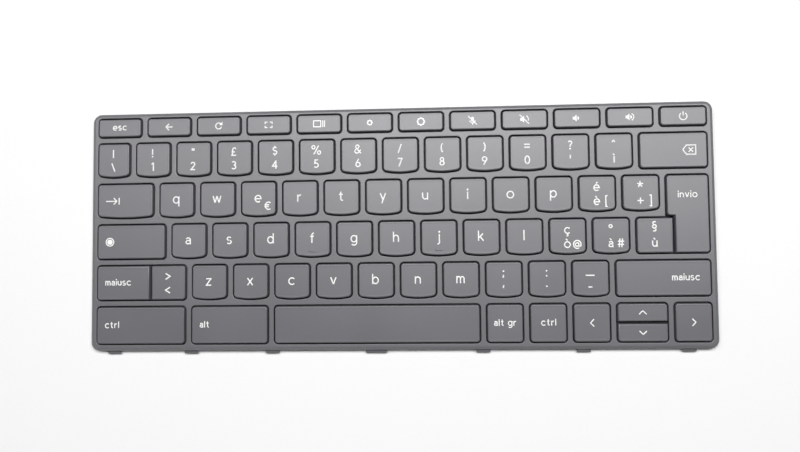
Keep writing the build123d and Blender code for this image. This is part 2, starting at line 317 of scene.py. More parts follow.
class StageSettings(PropertyGroup):
    """Where the camera and the lights stand."""

    camera_place: place("Camera place", "Where the camera stands", (23.7, -17.4, 353.4))
    camera_turn: FloatVectorProperty(
        name="Camera turn",
        description="How the camera is turned from looking straight down",
        default=(radians(3.058), radians(3.658), radians(-0.591)),
        subtype="EULER",
        unit="ROTATION",
    )
    focal_length: FloatProperty(
        name="Focal length", description="Focal length of the camera", default=36.0, unit="CAMERA"
    )
    left_place: place("Left place", "Where the left of the three high lamps hangs", (-480.0, 300.0, 1000.0))
    left_light: power("Left light", "Power of the left high lamp", 2.9)
    middle_place: place("Middle place", "Where the middle high lamp hangs", (-30.0, 300.0, 1000.0))
    middle_light: power("Middle light", "Power of the middle high lamp", 6.3)
    right_place: place("Right place", "Where the right high lamp hangs", (420.0, 300.0, 1000.0))
    right_light: power("Right light", "Power of the right high lamp", 5.3)
    front_place: place("Front place", "Where the low lamp stands", (-450.0, -750.0, 300.0))
    front_light: power("Front light", "Power of the low lamp before the keyboard", 0.8)
    fill_light: FloatProperty(
        name="Fill light", description="Brightness of the light from all round", default=0.03, min=0
    )
    floor_colour: colour("Floor colour", "Colour of the floor", "#f2f2f2")
    floor_glow: FloatProperty(
        name="Floor glow", description="How much the far floor is lifted to white", default=0.65, min=0
    )


# Materials

# Most values of a cloudy pattern lie between these two.
PATTERN_SPAN = (0.3, 0.7)


def set_inputs(tree, node, inputs):
    """Sets or links a node's inputs by name or number."""
    for name, value in inputs.items():
        for part in value if isinstance(value, list) else [value]:
            if isinstance(part, NodeSocket):
                tree.links.new(part, node.inputs[name])
            else:
                node.inputs[name].default_value = part


def add_node(tree, kind, inputs=None, **settings):
    """Adds a node with its settings and its inputs."""
    node = tree.nodes.new(kind)
    for name, value in settings.items():
        setattr(node, name, value)
    set_inputs(tree, node, inputs or {})
    return node


def reckon(tree, operation, *values):
    """The result of a sum on numbers or sockets."""
    return add_node(tree, "ShaderNodeMath", dict(enumerate(values)), operation=operation).outputs["Value"]


def attribute(tree, name, kind):
    """A value that each point carries."""
    node = add_node(tree, "GeometryNodeInputNamedAttribute", {"Name": name}, data_type=kind)
    return node.outputs["Attribute"]


def per_metre(millimetres):
    """The pattern scale whose features are this many millimetres across."""
    return 1 / (millimetres * MM)


def shade(colour, factor):
    """A linear colour made lighter or darker."""
    return (*[channel * factor for channel in colour[:3]], 1.0)


def new_material(name):
    """An empty material, with its tree, its coordinates and its shader."""
    material = bpy.data.materials.new(name)
    material.use_nodes = True
    tree = material.node_tree
    tree.nodes.clear()
    shader = add_node(tree, "ShaderNodeBsdfPrincipled")
    add_node(tree, "ShaderNodeOutputMaterial", {"Surface": shader.outputs["BSDF"]})
    place = add_node(tree, "ShaderNodeTexCoord").outputs["Object"]
    return material, tree, place, shader


def noise(tree, place, millimetres, detail):
    """A cloudy pattern of that size."""
    return add_node(
        tree,
        "ShaderNodeTexNoise",
        {"Vector": place, "Scale": per_metre(millimetres), "Detail": detail},
    ).outputs["Fac"]


def mottled(tree, factor, colour, spread):
    """A colour that wanders a little lighter and darker."""
    ramp = add_node(tree, "ShaderNodeValToRGB", {"Fac": factor})
    dark, light = ramp.color_ramp.elements
    dark.position, light.position = PATTERN_SPAN
    dark.color, light.color = shade(colour, 1 - spread), shade(colour, 1 + spread)
    return ramp.outputs["Color"]


def cloudy(name, colour, grain, spread, roughness):
    """A dull material in one colour with faint clouds."""
    material, tree, place, shader = new_material(name)
    tint = mottled(tree, noise(tree, place, grain, 2.0), colour, spread)
    set_inputs(tree, shader, {"Base Color": tint, "Roughness": roughness})
    return material


def moulded_plastic(name, colour, grit, roughness, ior):
    """Moulded plastic from a spark-eroded tool: dull, with a fine grit that scatters the light."""
    material, tree, place, shader = new_material(name)
    clouds = noise(tree, place, 38.0, 2.0)
    grains = noise(tree, place, grit, 3.0)
    tint = add_node(
        tree,
        "ShaderNodeMix",
        {"Factor": 0.35, "A": mottled(tree, clouds, colour, 0.05), "B": mottled(tree, grains, colour, 0.1)},
        data_type="RGBA",
    )
    patchy = add_node(
        tree,
        "ShaderNodeMapRange",
        {"Value": clouds, "To Min": roughness - 0.05, "To Max": roughness + 0.05},
    )
    bump = add_node(
        tree, "ShaderNodeBump", {"Height": grains, "Strength": 0.18, "Distance": 0.03 * MM}
    )
    set_inputs(tree, shader, {
        "Base Color": tint.outputs["Result"],
        "Roughness": patchy.outputs["Result"],
        "Normal": bump.outputs["Normal"],
        "IOR": ior,
    })
    return material


# Geometry


def arc(x, y, corner, radius, first=0.0, last=1.0):
    """Points round an outline's corner at x, y, anticlockwise. Corner 0 is the right back one."""
    if not radius:
        return [(x, y)]
    centre_x = x - radius if corner in (0, 3) else x + radius
    centre_y = y - radius if corner in (0, 1) else y + radius
    steps = 6
    turns = [(corner + first + (last - first) * step / steps) * pi / 2 for step in range(steps + 1)]
    return [(centre_x + radius * cos(turn), centre_y + radius * sin(turn)) for turn in turns]


def outline(area, radii, bow=0.0):
    """Points round an area, anticlockwise. The front edge bows outwards between its corners."""
    left, front, right, back = area
    right_back, left_back, left_front, right_front = radii
    points = arc(right, back, 0, right_back) + arc(left, back, 1, left_back)
    if not bow:
        return points + arc(left, front, 2, left_front) + arc(right, front, 3, right_front)
    ends = front + bow
    span = right - left - left_front - right_front
    dip = atan2(4 * bow, span) / (pi / 2)
    rising = arc(right, ends, 3, right_front, first=dip)
    points += arc(left, ends, 2, left_front, last=1 - dip)
    start, end, steps = points[-1], rising[0], 10
    for step in range(1, steps):
        share = step / steps
        x = start[0] + share * (end[0] - start[0])
        points.append((x, start[1] - 4 * bow * share * (1 - share)))
    return points + rising


def inward_of(points):
    """For each point of an anticlockwise outline, the step that moves both its edges inwards by one."""
    steps = []
    for number, (x, y) in enumerate(points):
        before_x, before_y = points[number - 1]
        after_x, after_y = points[(number + 1) % len(points)]
        first = Vector((before_y - y, x - before_x)).normalized()
        second = Vector((y - after_y, after_x - x)).normalized()
        steps.append((first + second) / (1 + first.dot(second)))
    return steps


def new_object(name, mesh):
    """An object at the origin, linked to the scene."""
    made = bpy.data.objects.new(name, mesh)
    bpy.context.scene.collection.objects.link(made)
    return made


def evaluated_mesh(made):
    """The plain mesh of an object as its curve or its modifiers make it."""
    graph = bpy.context.evaluated_depsgraph_get()
    return bpy.data.meshes.new_from_object(made.evaluated_get(graph))


def smooth(mesh, degrees=32):
    """Shades a mesh smooth across its gentle edges."""
    mesh.shade_smooth()
    mesh.set_sharp_from_angle(angle=radians(degrees))


def grow(name, mesh, tree, values):
    """Runs a node tree on a mesh, and gives back the plain mesh that it makes."""
    seed = new_object(name, mesh)
    modifier = seed.modifiers.new(tree.name, "NODES")
    modifier.node_group = tree
    for item in tree.interface.items_tree:
        if item.in_out == "INPUT" and item.name in values:
            modifier[item.identifier] = values[item.name]
    plain = evaluated_mesh(seed)
    bpy.data.objects.remove(seed)
    bpy.data.meshes.remove(mesh)
    return plain


def node_tree(name, sizes, counts=()):
    """A geometry tree whose inputs are sizes, counts and a material, and the outputs of its input node."""
    tree = bpy.data.node_groups.new(name, "GeometryNodeTree")
    tree.is_modifier = True
    inputs = {
        "Geometry": "NodeSocketGeometry",
        **{label: "NodeSocketFloat" for label in sizes},
        **{label: "NodeSocketInt" for label in counts},
        "Material": "NodeSocketMaterial",
    }
    for label, kind in inputs.items():
        tree.interface.new_socket(label, in_out="INPUT", socket_type=kind)
    tree.interface.new_socket("Geometry", in_out="OUTPUT", socket_type="NodeSocketGeometry")
    return tree, add_node(tree, "NodeGroupInput").outputs


def end_tree(tree, geometry, material):
    """Ends a tree in plain geometry with its material."""
    real = add_node(tree, "GeometryNodeRealizeInstances", {"Geometry": geometry})
    dressed = add_node(
        tree, "GeometryNodeSetMaterial", {"Geometry": real.outputs["Geometry"], "Material": material}
    )
    add_node(tree, "NodeGroupOutput", {"Geometry": dressed.outputs["Geometry"]})


def mesh_data(name, mesh):
    """The plain data of a mesh that has been built."""
    data = bpy.data.meshes.new(name)
    mesh.to_mesh(data)
    mesh.free()
    return data


def ring_stack(mesh, rings):
    """Joins rings of points, each with its level, by quads. Gives back the first and last ring's edges."""
    made = [[mesh.verts.new((x * MM, y * MM, z * MM)) for x, y in points] for points, z in rings]
    for upper, lower in zip(made, made[1:]):
        for number in range(len(upper)):
            mesh.faces.new((upper[number - 1], upper[number], lower[number], lower[number - 1]))
    ends = []
    for ring in (made[0], made[-1]):
        ends.append([mesh.edges.get((ring[number - 1], ring[number])) for number in range(len(ring))])
    return ends


def perforated(name, stacks):
    """A closed slab from stacks of rings, from its top to its underside: the outer edge and each hole."""
    mesh = bmesh.new()
    tops, undersides = [], []
    for rings in stacks:
        top, underside = ring_stack(mesh, rings)
        tops += top
        undersides += underside
    bmesh.ops.triangle_fill(mesh, edges=tops, use_beauty=True, normal=(0, 0, 1))
    bmesh.ops.triangle_fill(mesh, edges=undersides, use_beauty=True, normal=(0, 0, -1))
    bmesh.ops.recalc_face_normals(mesh, faces=mesh.faces)
    return mesh_data(name, mesh)


# How far the edges of a small block are eased
BLOCK_EDGE = 0.12


def rounded_box(mesh, area, low, high, slant=0.0):
    """Adds a small block whose front may narrow, with its edges eased."""
    left, front, right, back = area
    plan = ((left + slant, front), (right - slant, front), (right, back), (left, back))
    levels = [[mesh.verts.new((x * MM, y * MM, z * MM)) for x, y in plan] for z in (low, high)]
    lower, upper = levels
    faces = [mesh.faces.new(reversed(lower)), mesh.faces.new(upper)]
    for number in range(len(plan)):
        faces.append(mesh.faces.new((lower[number - 1], lower[number], upper[number], upper[number - 1])))
    edges = {found for face in faces for found in face.edges}
    bmesh.ops.bevel(mesh, geom=list(edges), offset=BLOCK_EDGE * MM, segments=2, affect="EDGES", profile=0.5)


def fused(name, meshes):
    """One mesh from several, which are then removed. Each face keeps its material."""
    whole, materials = bmesh.new(), []
    for mesh in meshes:
        start = len(whole.faces)
        whole.from_mesh(mesh)
        whole.faces.ensure_lookup_table()
        for face in whole.faces[start:]:
            material = mesh.materials[face.material_index]
            if material not in materials:
                materials.append(material)
            face.material_index = materials.index(material)
        bpy.data.meshes.remove(mesh)
    data = mesh_data(name, whole)
    for material in materials:
        data.materials.append(material)
    return data


# Caps

# Where the two flat rings in a cap's dish lie, in shares of the dish's run
DISH_RINGS = (1.0, 1.3)


def corner_radii(name, settings):
    """The radii of a cap's corners, anticlockwise from the right back one. Split sides are square."""
    round_ = settings.corner / MM
    if name in BOWED_KEYS:
        back, front = settings.back_corner / MM, settings.front_corner / MM
        return back, back, front, front
    square_right, square_left = (0.0, round_, round_, 0.0), (round_, 0.0, 0.0, round_)
    square_front, square_back = (round_, round_, 0.0, 0.0), (0.0, 0.0, round_, round_)
    split = {
        "left_shift": square_right, "less": square_left, "u_grave": square_right,
        "up": square_front, "down": square_back,
    }
    return split.get(name, (round_,) * 4)


def enter_outline(settings):
    """The L-shaped cap: a head that reaches over the key beside its stem."""
    left, front, right, back = AREAS["enter"]
    stem, head = AREAS["u_grave"].right + SPLIT_GAP, AREAS["u_grave"].back + SPLIT_GAP
    radius = settings.corner / MM
    return [
        *arc(right, back, 0, radius),
        *arc(left, back, 1, radius),
        *arc(left, head, 2, radius),
        (stem, head),
        (stem, front),
        *arc(right, front, 3, radius),
    ]


def cap_outline(name, settings):
    """The foot of a cap, anticlockwise."""
    if name == "enter":
        return enter_outline(settings)
    bow = settings.bow / MM if name in BOWED_KEYS else 0.0
    return outline(AREAS[name], corner_radii(name, settings), bow)


def foot_mesh(name, points):
    """A flat face on a cap's foot that knows where its points lie and which way is inwards."""
    mesh = bpy.data.meshes.new(name)
    foot = [(x * MM, y * MM, 0.0) for x, y in points]
    mesh.from_pydata(foot, [], [range(len(foot))])
    inward = [(x, y, 0.0) for x, y in inward_of(points)]
    for label, vectors in (("foot", foot), ("inward", inward)):
        layer = mesh.attributes.new(label, "FLOAT_VECTOR", "POINT")
        layer.data.foreach_set("vector", [value for vector in vectors for value in vector])
    return mesh


def cap_tree():
    """Grows a cap from its foot: hollow skirt, drafted wall, rounded edge and a shallow dish."""
    sizes = ("Skirt Level", "Pocket Roof", "Cap Top", "Wall", "Draft", "Edge Round", "Dish Depth", "Dish Run")
    tree, given = node_tree("Key cap", sizes)
    foot, inward = [attribute(tree, label, "FLOAT_VECTOR") for label in ("foot", "inward")]

    def scaled(value, factor, start):
        return reckon(tree, "MULTIPLY_ADD", value, factor, start)

    def placed(inset, level):
        across = add_node(
            tree, "ShaderNodeVectorMath", {0: inward, 1: inset, 2: foot}, operation="MULTIPLY_ADD"
        )
        rise = add_node(tree, "ShaderNodeCombineXYZ", {"Z": level})
        return add_node(
            tree, "ShaderNodeVectorMath", {0: across.outputs["Vector"], 1: rise.outputs["Vector"]}
        ).outputs["Vector"]

    edge_level = scaled(given["Edge Round"], -1.0, given["Cap Top"])
    rings = [((0.0, 0.0, 0.0), given["Skirt Level"]), (given["Draft"], edge_level)]
    steps = 4
    for step in range(1, steps + 1):
        turn = step / steps * pi / 2
        inset = scaled(given["Edge Round"], 1 - cos(turn), given["Draft"])
        rings.append((inset, scaled(given["Edge Round"], sin(turn), edge_level)))
    flat = scaled(given["Dish Depth"], -1.0, given["Cap Top"])
    shoulder = rings[-1][0]
    for share in DISH_RINGS:
        rings.append((scaled(given["Dish Run"], share, shoulder), flat))

    roof = add_node(
        tree,
        "GeometryNodeSetPosition",
        {"Geometry": given["Geometry"], "Position": placed(given["Wall"], given["Pocket Roof"])},
    ).outputs["Geometry"]
    shell, open_face = roof, True
    for inset, level in [(given["Wall"], given["Skirt Level"]), *rings]:
        pulled = add_node(
            tree,
            "GeometryNodeExtrudeMesh",
            {"Mesh": shell, "Selection": open_face, "Offset Scale": 0.0, "Individual": False},
            mode="FACES",
        ).outputs
        open_face = pulled["Top"]
        shell = add_node(
            tree,
            "GeometryNodeSetPosition",
            {"Geometry": pulled["Mesh"], "Selection": open_face, "Position": placed(inset, level)},
        ).outputs["Geometry"]
    ceiling = add_node(tree, "GeometryNodeFlipFaces", {"Mesh": roof}).outputs["Mesh"]
    closed = add_node(tree, "GeometryNodeJoinGeometry", {"Geometry": [shell, ceiling]})
    sealed = add_node(
        tree,
        "GeometryNodeMergeByDistance",
        {"Geometry": closed.outputs["Geometry"], "Distance": TOUCHING * MM},
    )
    end_tree(tree, sealed.outputs["Geometry"], given["Material"])
    return tree


def homing_bar(name, material):
    """The raised bar on a home cap, where the frame has it."""
    points = [point for point in node_points(f"key_{name}") if point.z > CAP_TOP + TOUCHING]
    mesh = bmesh.new()
    rounded_box(mesh, area_of(points), CAP_TOP - CAP_DRAFT, max(point.z for point in points))
    data = mesh_data(name, mesh)
    data.materials.append(material)
    return data


class KEYBOARD_OT_caps(Operator):
    """Grows every key cap from its foot, each on its own body"""

    bl_idname = "keyboard.caps"
    bl_label = "Key Caps"

    def execute(self, context):
        settings = context.scene.keyboard_caps
        # Moulded PBT: dry and dull, so the caps carry soft broad reflections and no hard shine.
        # The grit is finer than a pixel on the real cap, and is drawn at 0.45 mm to show at all.
        plastic = moulded_plastic("moulded PBT", settings.colour, grit=0.45, roughness=0.36, ior=1.6)
        tree = cap_tree()
        values = {
            "Skirt Level": SKIRT_LEVEL * MM,
            "Pocket Roof": POCKET_ROOF * MM,
            "Cap Top": CAP_TOP * MM,
            "Wall": settings.wall,
            "Draft": CAP_DRAFT * MM,
            "Edge Round": settings.edge_round,
            "Dish Depth": settings.dish_depth,
            "Dish Run": settings.dish_run,
            "Material": plastic,
        }
        shells = {}
        for name in AREAS:
            shells[name] = grow(name, foot_mesh(name, cap_outline(name, settings)), tree, values)
            for label in ("foot", "inward"):
                shells[name].attributes.remove(shells[name].attributes[label])
        for name in HOMING_KEYS:
            shells[name] = fused(name, [shells[name], homing_bar(name, plastic)])
        for name in MOVING_KEYS:
            self.add(f"cap_{name}", shells[name], f"key_{name}", f"key_{name}")
        fixed = fused("fixed_caps", [shells[name] for name in FIXED_KEYS])
        self.add("fixed_caps", fixed, "chassis", "fixed_keys")
        return {"FINISHED"}

    def add(self, name, mesh, body, node):
        """Puts a cap on its body, in place of its node."""
        smooth(mesh)
        cap = new_object(name, mesh)
        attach(cap, body)
        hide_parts(node)


# Frame, plate and sheet

# A narrow flat ring beside each rounded edge keeps the edge's shading off the flat top.
EDGE_SUPPORT = 0.12

# A face of the plate whose normal rises by more than this is on its upper side, which carries the painted
# shade.
FACING_UP = 0.5


def window_outlines(grow_by, caps):
    """The outlines of all windows, grown by an amount. Split caps share one."""
    pairs = {
        "left_shift": AREAS["left_shift"].joined(AREAS["less"]),
        "up": AREAS["up"].joined(AREAS["down"]),
    }
    shared = ("less", "down", "u_grave", "enter")
    found = []
    for name in AREAS:
        if name in shared:
            continue
        bow = caps.bow / MM if name in BOWED_KEYS else 0.0
        radii = corner_radii(name, caps) if name in BOWED_KEYS else (caps.corner / MM,) * 4
        area = pairs.get(name, AREAS[name])
        found.append(outline(area.grown(grow_by), [radius + grow_by for radius in radii], bow))
    home, column = AREAS["u_grave"].grown(grow_by), AREAS["enter"].grown(grow_by)
    radius = caps.corner / MM + grow_by
    found.append([
        *arc(column.right, column.back, 0, radius),
        *arc(column.left, column.back, 1, radius),
        (column.left, home.back),
        *arc(home.left, home.back, 1, radius),
        *arc(home.left, home.front, 2, radius),
        *arc(column.right, home.front, 3, radius),
    ])
    return found


def rim_outline(inset, corner):
    """The frame's outline, moved inwards."""
    return outline(RIM.grown(-inset), (max(corner - inset, corner / 4),) * 4)


def quarter(steps):
    """Inward and downward shares along a rounded edge, from its top to its side."""
    turns = [step / steps * pi / 2 for step in range(steps, -1, -1)]
    return [(1 - cos(turn), 1 - sin(turn)) for turn in turns]


def window_stacks(settings, caps):
    """For each window, its rings from the top side to the underside."""
    gap, edge = settings.clearance / MM, settings.window_edge / MM
    underside = FRAME_TOP - settings.grid_thickness / MM
    levels = [(gap + edge + EDGE_SUPPORT, FRAME_TOP)]
    for inward, down in quarter(3):
        levels.append((gap + edge * inward, FRAME_TOP - edge * down))
    levels.append((gap, underside))
    layers = [(window_outlines(amount, caps), level) for amount, level in levels]
    return [
        [(outlines[number], level) for outlines, level in layers]
        for number in range(len(layers[0][0]))
    ]


def rim_stack(settings):
    """The frame's outer rings: over the sloped edge, down the wall and up inside to the grid."""
    corner, wall = settings.rim_corner / MM, settings.rim_wall / MM
    run, drop, ease = settings.rim_run / MM, settings.rim_drop / MM, settings.rim_ease / MM
    across, down = ease * run / hypot(run, drop), ease * drop / hypot(run, drop)
    rings = [
        (run + ease + EDGE_SUPPORT, FRAME_TOP),
        (run + ease, FRAME_TOP),
        (run + (ease - across) / 4, FRAME_TOP - down / 4),
        (run - across, FRAME_TOP - down),
        (across, FRAME_TOP - drop + down),
        (across / 4, FRAME_TOP - drop - (ease - down) / 4),
        (0.0, FRAME_TOP - drop - ease),
        (0.0, 0.0),
        (settings.plate_seat / MM, 0.0),
        (settings.plate_seat / MM, PLATE_TOP),
        (wall, PLATE_TOP),
        (wall, FRAME_TOP - settings.grid_thickness / MM),
    ]
    return [(rim_outline(inset, corner), level) for inset, level in rings]


def add_tabs_and_posts(data, settings):
    """Adds the hook tabs along the front edge and the posts under the grid."""
    mesh = bmesh.new()
    mesh.from_mesh(data)
    tips = [point for point in node_points("key_frame") if point.y < RIM.front - TOUCHING]
    low, high = min(point.z for point in tips), max(point.z for point in tips)
    tip = min(point.y for point in tips)
    ends = sorted({round(point.x, 2) for point in tips})
    slant = settings.tab_slant / MM
    for left, right in zip(ends[::2], ends[1::2]):
        root = RIM.front + settings.rim_wall / MM / 2
        rounded_box(mesh, Area(left - slant, tip, right + slant, root), low, high, slant)
    screws = [area_of(loop).centre for loop in PLATE_LOOPS[1:]]
    for loop in SHEET_LOOPS[1:]:
        hole = area_of(loop)
        if not any(hole.holds(*screw) for screw in screws):
            post = hole.grown(-settings.post_gap / MM)
            rounded_box(mesh, post, PLATE_TOP, FRAME_TOP - settings.grid_thickness / MM)
    mesh.to_mesh(data)
    mesh.free()


class KEYBOARD_OT_frame(Operator):
    """Builds the moulded frame with its windows, sloped rim, hook tabs and posts"""

    bl_idname = "keyboard.frame"
    bl_label = "Moulded Frame"

    def execute(self, context):
        settings = context.scene.keyboard_frame
        stacks = [rim_stack(settings), *window_stacks(settings, context.scene.keyboard_caps)]
        data = perforated("moulded_frame", stacks)
        add_tabs_and_posts(data, settings)
        smooth(data)
        # Moulded ABS: a shade glossier than the caps, so the sloped rim carries a soft line of light.
        data.materials.append(
            moulded_plastic("moulded ABS", settings.colour, grit=0.5, roughness=0.34, ior=1.54)
        )
        made = new_object("moulded_frame", data)
        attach(made, "chassis")
        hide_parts("key_frame")
        return {"FINISHED"}


def rolled_aluminium(colour):
    """Rolled sheet aluminium: a dull metal whose fine lines run along the sheet."""
    material, tree, place, shader = new_material("rolled aluminium")
    stretched = add_node(tree, "ShaderNodeMapping", {"Vector": place, "Scale": (0.02, 1.0, 1.0)})
    lines = noise(tree, stretched.outputs["Vector"], 0.6, 4.0)
    rough = add_node(tree, "ShaderNodeMapRange", {"Value": lines, "To Min": 0.3, "To Max": 0.5})
    bump = add_node(tree, "ShaderNodeBump", {"Height": lines, "Strength": 0.12, "Distance": 0.02 * MM})
    set_inputs(tree, shader, {
        "Base Color": mottled(tree, lines, colour, 0.08),
        "Roughness": rough.outputs["Result"],
        "Normal": bump.outputs["Normal"],
        "Metallic": 1.0,
    })
    return material


def lance_loops(works):
    """The pressed slots under the ends of each scissor bar, as small rectangles."""
    half_length, half_width = works.lance_length / MM / 2, works.lance_width / MM / 2
    loops = []
    for points in islands("scissor_links"):
        bar = area_of(points)
        y = bar.centre[1]
        for x in (bar.left, bar.right):
            loops.append([
                (x - half_length, y - half_width),
                (x + half_length, y - half_width),
                (x + half_length, y + half_width),
                (x - half_length, y + half_width),
            ])
    return loops


class KEYBOARD_OT_plate(Operator):
    """Builds the pressed base plate with its screw holes, ribbon slot and pressed slots"""

    bl_idname = "keyboard.plate"
    bl_label = "Base Plate"

    def execute(self, context):
        loops = PLATE_LOOPS + lance_loops(context.scene.keyboard_works)
        data = perforated("pressed_plate", [[(loop, PLATE_TOP), (loop, 0.0)] for loop in loops])
        settings = context.scene.keyboard_frame
        data.materials.append(rolled_aluminium(settings.plate_colour))
        # The plate's upper side is painted dark, as painted shade that keeps the metal from glinting through
        # the gaps between the caps.
        data.materials.append(dark_film_and_painted_shade("black coat", settings.coat_colour))
        for face in data.polygons:
            face.material_index = int(face.normal.z > FACING_UP)
        made = new_object("pressed_plate", data)
        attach(made, "chassis")
        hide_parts("base_plate")
        return {"FINISHED"}


def dark_film_and_painted_shade(name, colour):
    """A thin dark smooth layer, which keeps the gaps dark and shines only at a low angle: the switch sheet's
    film, and the painted shade on the plate's upper side.
    """
    material, tree, place, shader = new_material(name)
    clouds = noise(tree, place, 9.0, 2.0)
    tint = mottled(tree, clouds, colour, 0.25)
    rough = add_node(tree, "ShaderNodeMapRange", {"Value": clouds, "To Min": 0.4, "To Max": 0.6})
    set_inputs(tree, shader, {"Base Color": tint, "Roughness": rough.outputs["Result"]})
    return material


class KEYBOARD_OT_sheet(Operator):
    """Builds the switch sheet that lies on the plate"""

    bl_idname = "keyboard.sheet"
    bl_label = "Switch Sheet"

    def execute(self, context):
        data = perforated("switch_sheet", [[(loop, SHEET_TOP), (loop, PLATE_TOP)] for loop in SHEET_LOOPS])
        data.materials.append(dark_film_and_painted_shade("polyester film", context.scene.keyboard_works.sheet_colour))
        made = new_object("switch_sheet", data)
        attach(made, "chassis")
        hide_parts("membrane")
        return {"FINISHED"}


# Works under the keys


def dome_tree():
    """Stands a rubber dome on each point."""
    tree, given = node_tree("Rubber dome", ("Foot", "Top", "Height"), counts=("Sides",))
    cone = add_node(
        tree,
        "GeometryNodeMeshCone",
        {
            "Vertices": given["Sides"],
            "Side Segments": 4,
            "Radius Top": given["Top"],
            "Radius Bottom": given["Foot"],
            "Depth": given["Height"],
        },
    )
    domes = add_node(
        tree, "GeometryNodeInstanceOnPoints", {"Points": given["Geometry"], "Instance": cone.outputs["Mesh"]}
    )
    end_tree(tree, domes.outputs["Instances"], given["Material"])
    return tree


def link_tree():
    """Lays a scissor bar on each point, leaning to the side that the point names."""
    tree, given = node_tree("Scissor links", ("Length", "Width", "Thickness", "Slope"))
    size = add_node(
        tree,
        "ShaderNodeCombineXYZ",
        {"X": given["Length"], "Y": given["Width"], "Z": given["Thickness"]},
    )
    bar = add_node(tree, "GeometryNodeMeshCube", {"Size": size.outputs["Vector"]})
    slope = reckon(tree, "MULTIPLY", attribute(tree, "lean", "FLOAT"), given["Slope"])
    turn = add_node(tree, "ShaderNodeCombineXYZ", {"Y": slope})
    bars = add_node(
        tree,
        "GeometryNodeInstanceOnPoints",
        {
            "Points": given["Geometry"],
            "Instance": bar.outputs["Mesh"],
            "Rotation": turn.outputs["Vector"],
        },
    )
    end_tree(tree, bars.outputs["Instances"], given["Material"])
    return tree


def works_points(name, places):
    """Points for the works under one key, with the way that each bar leans."""
    mesh = bpy.data.meshes.new(name)
    mesh.from_pydata([Vector(place) * MM for place, _ in places], [], [])
    layer = mesh.attributes.new("lean", "FLOAT", "POINT")
    layer.data.foreach_set("value", [lean for _, lean in places])
    return mesh


class KEYBOARD_OT_works(Operator):
    """Stands a rubber dome and its scissor bars under each key"""

    bl_idname = "keyboard.works"
    bl_label = "Domes and Links"

    def execute(self, context):
        settings = context.scene.keyboard_works
        domes, links = dome_tree(), link_tree()
        bars = islands("scissor_links")
        long_side = area_of(bars[0])
        levels = [point.z for point in bars[0]]
        rise = max(levels) - min(levels) - settings.link_thickness / MM
        span = long_side.right - long_side.left
        middle = (max(levels) + min(levels)) / 2
        clearance = settings.link_clearance
        height = POCKET_ROOF - SHEET_TOP - clearance / MM
        # Acetal is a hard waxy plastic with a satin surface. Silicone rubber is milky and duller.
        acetal = cloudy("acetal", settings.link_colour, grain=2.0, spread=0.05, roughness=0.4)
        rubber = cloudy("silicone rubber", settings.rubber_colour, grain=3.0, spread=0.06, roughness=0.55)
        link_values = {
            "Length": hypot(span, rise) * MM - clearance,
            "Width": settings.link_width,
            "Thickness": settings.link_thickness - clearance / 2,
            "Slope": -atan2(rise, span),
            "Material": acetal,
        }
        dome_values = {
            "Height": height * MM,
            "Sides": settings.dome_sides,
            "Material": rubber,
        }
        edge_to_bar = AREAS["tab"].back - max(
            area_of(points).centre[1] for points in bars if AREAS["tab"].holds(*area_of(points).centre)
        )
        fixed = []
        for name, area in AREAS.items():
            dome = next(p for p in DOME_ISLANDS if area.holds(*area_of(p).centre))
            foot = area_of(dome)
            x, y = foot.centre
            top = area_of([point for point in dome if point.z > POCKET_ROOF - TOUCHING])
            places = []
            if name in FIXED_KEYS:
                step = (area.back - area.front) / 2 - edge_to_bar
                places += [((x, y + side * step, middle), side) for side in (-1.0, 1.0)]
            for points in bars:
                bar = area_of(points)
                if area.holds(*bar.centre):
                    high_end = max(points, key=lambda point: point.z)
                    lean = 1.0 if high_end.x > bar.centre[0] else -1.0
                    places.append(((*bar.centre, middle), lean))
            dome_values["Foot"] = (foot.back - foot.front) / 2 * MM
            dome_values["Top"] = (top.back - top.front) / 2 * MM
            mesh = fused(f"works_{name}", [
                grow(name, works_points(name, [((x, y, SHEET_TOP), 0.0)]), domes, dome_values),
                grow(name, works_points(name, places), links, link_values),
            ])
            smooth(mesh)
            if name in FIXED_KEYS:
                fixed.append(mesh)
                continue
            made = new_object(f"works_{name}", mesh)
            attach(made, "chassis")
            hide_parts("scissor_links")
            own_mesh(made)
        whole = new_object("fixed_works", fused("fixed_works", fixed))
        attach(whole, "chassis")
        return {"FINISHED"}


# Legends

# Strokes of a plain round lettering. A small letter x is 1 high, on a baseline at 0.


def line(*points):
    """A drawn line through points."""
    return list(points)


def oval(x, y, across, along, first=0.0, last=360.0):
    """A drawn oval, or the part of one between two angles in degrees."""
    steps = max(6, round(abs(last - first) / 20))
    turns = [radians(first + (last - first) * step / steps) for step in range(steps + 1)]
    return [(x + across * cos(turn), y + along * sin(turn)) for turn in turns]


def bowl(x):
    """The round part of a letter."""
    return oval(x, 0.5, 0.39, 0.45)


def stem(x, low, high):
    """An upright stroke."""
    return line((x, low), (x, high))


def dot(x, y):
    """A round dot: a line of a single point."""
    return line((x, y))


def arch(left, right):
    """The shoulder of an n, down to the baseline."""
    half = (right - left) / 2
    return line((left, 0.56)) + oval(left + half, 0.56, half, 0.36, 180, 0) + line((right, 0.0))


def grave(x):
    """An accent that falls to the right."""
    return line((x - 0.2, 1.42), (x + 0.06, 1.17))


def acute(x):
    """An accent that rises to the right."""
    return line((x + 0.2, 1.42), (x - 0.06, 1.17))


def star(x, y, reach, arms=5):
    """Arms from a middle, the first upright."""
    turns = [radians(90 + 360 / arms * arm) for arm in range(arms)]
    return [line((x, y), (x + reach * cos(turn), y + reach * sin(turn))) for turn in turns]


def turned(lines, x):
    """Lines turned over from left to right, about an upright at x."""
    return [[(2 * x - across, along) for across, along in points] for points in lines]


